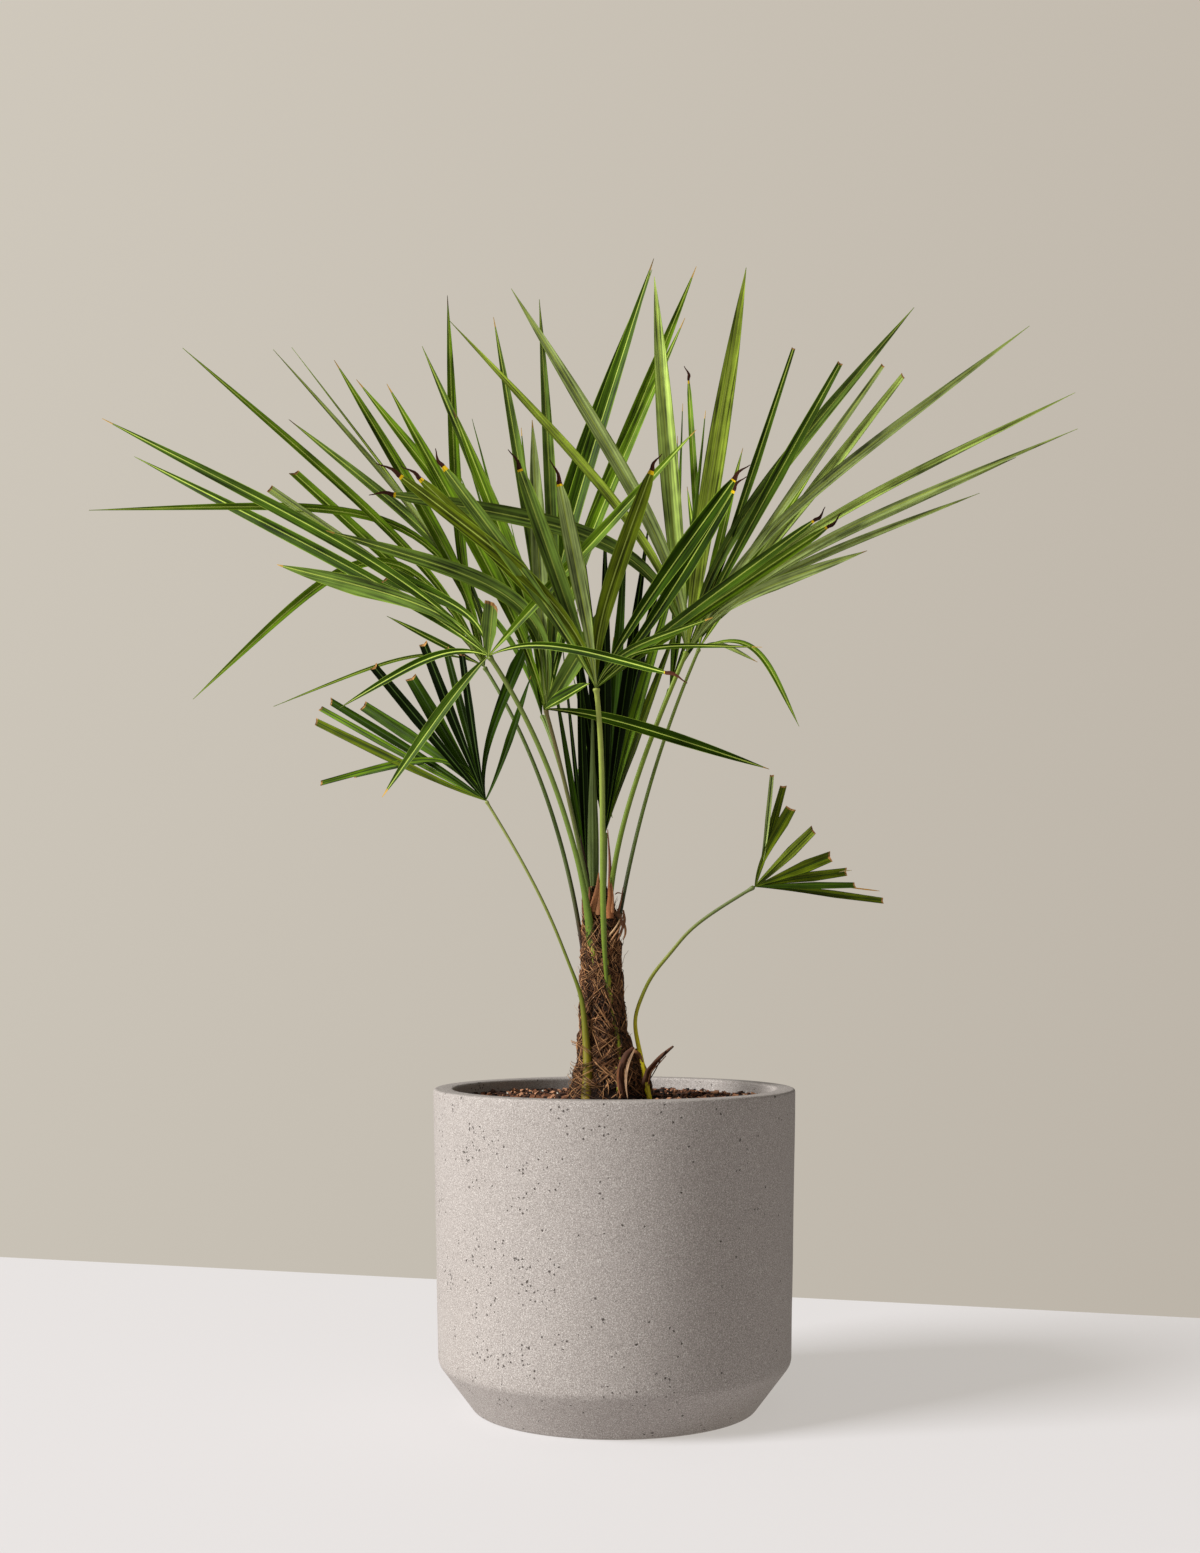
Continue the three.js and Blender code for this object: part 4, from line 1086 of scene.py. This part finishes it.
def leafletPath(frond, place, sway, t):
    # straight out from the hub at its angle, arched by u - u^5 with u = 1 - t, and off the fan's plane
    angle, length, arch, _, forward = leafletNumbers(frond, place)
    across, along, _ = directions(frond)
    a = math.radians(angle)
    out = across * math.sin(a) + along * math.cos(a)
    upward = (along * math.sin(a) - across * math.cos(a)) * (-1 if math.sin(a) < 0 else 1)
    off = sway - forward + plan["splay"] * length * (1 if place % 2 else -1)
    t = t[:, None]
    bow = upward * (arch / 100) * length * plan["archPeak"] * ((1 - t) - (1 - t) ** 5)
    depth = np.array(frond.get("depth", (0, 1, 0)))
    return np.array(frond["hub"], float) + out * length * t + bow + depth * off * t


def roomAt(frond, place, t):
    # half of the room between its neighbours, which widens evenly from the hub
    angle, length = frond["leaflets"][place][:2]
    nearest = min(abs(other[0] - angle) for k, other in enumerate(frond["leaflets"]) if k != place)
    return 1 + math.radians(max(plan["crowded"], nearest)) * length * t / 2


def plannedHalf(frond, place, t):
    # half the width as planned: the table's share of it at each place, and no more than the room
    shares = np.interp(t, plan["stations"], plan["cut"] if frond["ends"][place] == "c" else plan["pointed"])
    return np.minimum(frond["leaflets"][place][3] / 2 * shares, roomAt(frond, place, t))


def stalkPath(frond, t):
    # a cubic curve from the trunk to the hub
    foot, rise, reach, hub = (np.array(frond[name], float) for name in ("foot", "rise", "reach", "hub"))
    t = t[:, None]
    return (1 - t) ** 3 * foot + 3 * t * (1 - t) ** 2 * rise + 3 * t ** 2 * (1 - t) * reach + t ** 3 * hub


def chooseSways():
    # each leaflet takes the smallest sway, to either side in turn, that keeps it clear of the other fronds,
    # or else the clearest one
    t = np.arange(1, crossing["samples"] + 1) / crossing["samples"]
    taken = [(frond["name"], stalkPath(frond, t), np.full(len(t), frond["stalk"])) for frond in fronds]
    for frond in fronds:
        others = [entry for entry in taken if entry[0] != frond["name"]]
        places, halves = (np.concatenate([entry[k] for entry in others]) for k in (1, 2))
        frond["sways"] = []
        for place in range(len(frond["leaflets"])):
            half = plannedHalf(frond, place, t)
            touching = crossing["widthShare"] * (half[:, None] + halves[None])
            best = None
            for attempt in range(crossing["tries"]):
                sway = crossing["step"] * math.ceil(attempt / 2) * (1 if attempt % 2 else -1)
                path = leafletPath(frond, place, sway, t)
                apart = np.linalg.norm(path[:, None] - places[None], axis=2)
                clear = (apart - crossing["clearance"] - touching).min()
                if best is None or clear > best[0]:
                    best = (clear, sway, path)
                if clear > 0:
                    break
            frond["sways"].append(best[1])
            taken.append((frond["name"], best[2], half))


def drawnHalf(frond, place, t, tail, chance):
    # Half the width as drawn. A pointed leaflet widens as t^rising, narrows as (1 - t)^falling and is
    # widest between the two. A cut one widens to cutFrom and then narrows by taper. A withered one is the
    # start of a longer one and shrinks into its tail. Breadth multiplies each, and the room is for the true
    # length.
    ends, (_, length, _, width, forward) = frond["ends"][place], leafletNumbers(frond, place)
    rising, falling = frond.get("rising", leaf["rising"]), leaf["falling"][ends]
    peak = rising / (rising + falling)
    run = t * leaf["whole"] if ends == "w" else t
    share = (run / peak) ** rising * ((1 - run) / (1 - peak)) ** falling
    if ends == "c":
        start, full, taper = leaf["start"], leaf["cutFrom"], frond.get("taper", leaf["taper"])
        widening = (1 - start) * np.minimum(1, t / full) ** 0.8
        share = leaf["cutWidth"] * (start + widening - taper * np.maximum(0, t - full) / (1 - full))
    own = width / 2 * np.maximum(share, leaf["start"] * (1 - t)) * chance.uniform(*leaf["varied"])
    own = own * frond.get("breadth", 1)
    if ends == "w":
        left, (thin, thicker) = (1 - t) * length, leaf["tailWidth"]
        (before, into), (thinner, first, over) = leaf["wilt"], leaf["thinning"]
        own = own * (1 - thinner * np.clip((tail + first - left) / over, 0, 1))
        wilt = np.clip((tail + before - left) / (before + into), 0, 1)
        own = own * (1 - wilt) + wilt * (thin + thicker * np.clip(left / tail, 0, 1) ** 1.3)
    room = 1 + (roomAt(frond, place, t) - 1) * math.hypot(length, forward) / length
    return np.maximum(np.minimum(own, room - leaf["gap"]), leaf["least"])


def leafletStations(ends, length, tail, golden):
    # shares of the length, closer together where the end changes: at a dry cut edge and along a withered tail
    count = leaf["stations"]
    if ends == "c":
        return np.concatenate([np.linspace(0, 1 - leaf["dryEdge"] / length, count - 1), [1]])
    if ends == "w":
        before, into = leaf["wilt"]
        shares = [tail * share for share in leaf["tailShares"]]
        left = [tail + golden, tail + before, tail, tail - into, *shares]
        near = 1 - np.array(left) / length
        return np.concatenate([np.linspace(0, 1, count - len(near), endpoint=False) * near[0], near])
    return np.linspace(0, 1, count) ** leaf["spacing"]


kindOf = {"blade": 0, "under": 1, "rib": 2, "margin": 3, "yellow": 4, "brown": 5, "dry": 6, "tan": 7}


def leafletKinds(ends, length, t, tail, golden, chance):
    # each face's finish: skins, rib and margins by their places across, and the end's colours by its distance
    upper = len(leaf["across"])
    column = np.arange(2 * upper - 2)
    kind = np.where(column < upper - 1, kindOf["blade"], kindOf["under"])
    kind[(column == 0) | (column == upper - 2)] = kindOf["margin"]
    kind[column == upper // 2 - 1] = kindOf["rib"]
    kinds = np.repeat(kind[None], len(t) - 1, axis=0)
    centre = (t[1:] + t[:-1]) / 2
    if ends == "w":
        discoloured = centre > 1 - (tail + golden) / length
        kinds[discoloured] = kindOf["yellow"]
        kinds[centre > 1 - (tail + leaf["wilt"][0]) / length] = kindOf["brown"]
        kinds[discoloured[:, None] & (kind == kindOf["margin"])] = kindOf["brown"]
    elif ends == "p" and chance.uniform() < leaf["tanShare"]:
        kinds[centre > 1 - chance.uniform(*leaf["tanLength"]) / length] = kindOf["tan"]
    elif ends == "c":
        kinds[-1] = kindOf["dry"]
    last = kindOf[{"c": "dry", "w": "brown", "p": "tan"}[ends]]
    return kinds.reshape(-1), np.repeat([kindOf["margin"], last], len(kind))


def makeLeaflet(frond, place, chance):
    # a ring of places at each station: a folded upper skin from margin to margin, and the lower skin back
    ends, length = frond["ends"][place], frond["leaflets"][place][1]
    tail, golden = chance.uniform(*leaf["tail"]), chance.uniform(*leaf["golden"])
    t = leafletStations(ends, length, tail, golden)
    path = leafletPath(frond, place, frond["sways"][place], t)
    tangent, side, up = framed(path, directions(frond)[2])
    side, up = twisted(side, up, chance.uniform(-1, 1) * leaf["twist"] * t ** 0.7)
    half = drawnHalf(frond, place, t, tail, chance)[:, None]
    if ends == "w":
        curl, (bow, hook) = np.clip(1 - (1 - t) * length / tail, 0, 1), leaf["tailCurl"]
        path = path + side * (chance.choice([-1, 1]) * (bow * curl ** 2 - hook * np.sin(5 * curl)))[:, None]
    across, skin = roundBlade(leaf["across"])
    beside = np.abs(across) == leaf["across"][leaf["ribColumn"]]
    ribHalf = np.clip(leaf["ribWidth"] / 2 / half, *leaf["ribShares"])
    across = np.where(beside, np.sign(across) * ribHalf, across)
    near, far = leaf["fold"]
    fold = (near + (far - near) * np.minimum(1, t * leaf["unfolding"]))[:, None]
    body = leaf["edge"] + (leaf["thickness"] - leaf["edge"]) * (1 - across ** 2)
    body = np.minimum(body, 1.3 * half)
    rib = leaf["rib"] * np.exp(-(across / leaf["ribReach"]) ** 2) * (skin < 0)
    pleats = leaf["pleat"] * np.sin(leaf["pleats"] * np.abs(across)) * np.minimum(1, half / 6)
    height = fold * np.abs(across) * half + skin * body / 2 - rib * np.minimum(1, half / 5) + pleats
    rings = swept(path, side, up, across * half, height)
    if ends == "c":
        slant, notch = chance.uniform(*leaf["slant"]), chance.uniform(*leaf["notch"])
        trim = (slant * across - notch * (1 - np.abs(across))) * half[-1]
        first, over = leaf["trimmed"]
        trim = np.clip((t - first) / over, 0, 1)[:, None] * trim
        rings = rings + tangent[:, None] * trim[..., None]
    kinds, capKinds = leafletKinds(ends, length, t, tail, golden, chance)
    # the map holds centimetres across and along, moved on for each leaflet so that no two look alike
    uv = np.stack(np.broadcast_arrays(across * half / 10, (t * length / 10)[:, None]), -1).reshape(-1, 2)
    uv = np.concatenate([uv, [[0, 0], [0, length / 10]]]) + np.array([place * 3.7, place * 1.9])
    return tubeOf(rings), kinds, capKinds, uv


leafFinishes = {}  # each finish by its name, made once


def leafFinish(name, colour, streak=0.24, rough=0.42, shine=0.1):
    # streaks and blotches run along the leaflet with the piece's own map, over wide soft patches
    if name not in leafFinishes:
        finish = Finish(name, {"Specular IOR Level": shine})
        mapped = finish.surface()
        long = finish.noise(finish.scaled(mapped, (5.0, 0.08, 1.0)), 1.0, 2, 0.5)
        cloud = finish.noise(finish.place(), 28.0, 2, 0.5)
        blotch = finish.noise(finish.scaled(mapped, (0.9, 0.35, 1.0)), 1.0, 2, 0.5)
        spread = finish.remap(long * 0.6 + cloud * 0.2 + blotch * 0.2, 0.38, 0.62)
        tone = finish.mottled(spread, colour, 1 - streak * 2.2, 1 + streak * 1.3)
        normal = finish.bump(long, 0.0006, 0.35)
        leafFinishes[name] = finish.set(colour=tone, roughness=rough + long * 0.2, normal=normal)
    return leafFinishes[name]


def makeFan(frond, seed):
    chance = np.random.default_rng(seed)
    redrawn = frond.get("redrawn", {})
    frond = dict(frond, leaflets=[redrawn.get(k, leaflet) for k, leaflet in enumerate(frond["leaflets"])])
    tintsAndShading, inShade = sorted(set(frond["tintsAndShading"])), int(frond["name"] in leaf["inShade"])
    finishes = []
    for tint in tintsAndShading:
        shine = leaf["shines"].get(tint, leaf["shine"])
        finishes.append(leafFinish("leaf_" + tint, leaf["tintsAndShading"][tint], shine=shine))
    # fans in the crown's shade take the darker ribs and margins, as painted shade
    finishes += [  # in the order of kindOf, after the blade
        leafFinish("leafUnder", leaf["under"], 0.3, 0.5, 0.04),
        leafFinish(f"leafRib{inShade}", leaf["ribs"][inShade], 0.1, 0.45),
        leafFinish(f"leafMargin{inShade}", leaf["margins"][inShade], 0.15),
        leafFinish("tipYellow", leaf["yellow"], 0.2, 0.6), leafFinish("tipBrown", leaf["brown"], 0.4, 0.8),
        leafFinish("cutEdge", leaf["dry"], 0.3, 0.8), leafFinish("tipTan", leaf["tan"], 0.3, 0.6),
    ]
    after = len(tintsAndShading) - 1
    parts, sideKinds, endKinds, maps = [], [], [], []
    for place, tint in enumerate(frond["tintsAndShading"]):
        part, kinds, caps, uv = makeLeaflet(frond, place, chance)
        parts.append(part)
        sideKinds.append(np.where(kinds == kindOf["blade"], tintsAndShading.index(tint), kinds + after))
        endKinds.append(caps + after)
        maps.append(uv)
    addPiece(
        "leaflets_" + frond["name"], *joined(parts), finishes, "leaf", ["fan_" + frond["name"]],
        kinds=np.concatenate(sideKinds + endKinds), uv=np.concatenate(maps), sharp=38,
    )


def stalkFinish(name, shades):
    # three colours run along the stalk with the piece's own map, with fine streaks over them
    finish = Finish("stalk_" + name, {"Specular IOR Level": 0.3})
    base = finish.ramp(finish.axis(finish.surface(), 1), zip(stalk["shadePlaces"], shades))
    place = finish.place()
    streaks = finish.noise(finish.scaled(place, (1.0, 1.0, 0.1)), 900.0, 3, 0.6)
    blots = finish.noise(place, 160.0, 2, 0.5)
    dark, pale = finish.scaled(base, (0.62, 0.62, 0.62)), finish.scaled(base, (1.3, 1.28, 1.2))
    worn = finish.blend(streaks * 0.5 + blots * 0.5, dark, pale)
    return finish.set(colour=worn, roughness=0.4 + streaks * 0.15, normal=finish.bump(streaks, 0.0003, 0.5))


def makeStalk(frond):
    # an oval tube along the stalk's curve, thicker towards the trunk, with a small round knob at the hub.
    # It runs on a little below its foot, and thins or widens there by foothold. bend falls off as a square,
    # and each of bows is a bell curve.
    long = np.linalg.norm(np.array(frond["hub"], float) - frond["foot"])
    left = stalk["knobLength"] * 2 * np.cos(np.linspace(0, math.pi / 2, stalk["knobStations"])) / long
    below = np.linspace(-stalk["root"], 1 - left[0], stalk["stations"], endpoint=False)
    t = np.concatenate([below, 1 - left])
    bend = np.array([*frond.get("bend", (0, 0)), 0], float)
    path = stalkPath(frond, t) + bend * (np.clip(1 - t / stalk["bendEnd"], 0, 1) ** 2)[:, None]
    for across, middle, spread in frond.get("bows", []):
        path[:, 0] += across * np.exp(-((t - middle) / spread) ** 2)
    _, side, up = framed(path, directions(frond)[2])
    left, (atHub, more) = (1 - t) * long, stalk["girth"]
    size = atHub + more * (1 - t) + stalk["knob"] * np.exp(-(left / stalk["knobLength"]) ** 2)
    size *= np.sqrt(np.clip(1 - (1 - left / stalk["roundEnd"]).clip(0) ** 2, 0.01, 1))
    grip = np.clip(1 - t / frond.get("grip", stalk["grip"]), 0, 1) ** 1.3
    size *= 1 - (1 - frond.get("foothold", 1)) * grip
    size *= frond["stalk"] * np.where(t < 0, np.sqrt(np.clip(1 - (t / stalk["root"]) ** 2, 0.01, 1)), 1)
    turn, size = fullTurn(stalk["corners"]), size[:, None]
    rings = swept(path, side, up, np.cos(turn) * size, stalk["flatness"] * np.sin(turn) * size)
    uv = np.stack(np.broadcast_arrays(turn[None] / 6.3, t[:, None]), -1).reshape(-1, 2)
    uv = np.concatenate([uv, [[0.5, t[0]], [0.5, 1]]])
    shades = frond["name"] if frond["name"] in stalk["shades"] else "other"
    finish = stalkFinish(shades, stalk["shades"][shades])
    addPiece("stalkOf_" + frond["name"], *tubeOf(rings), [finish], "stalk", ["stalk_" + frond["name"]], uv=uv)


chooseSways()
for seed, frond in enumerate(fronds):
    makeStalk(frond)
    makeFan(frond, 100 + seed)
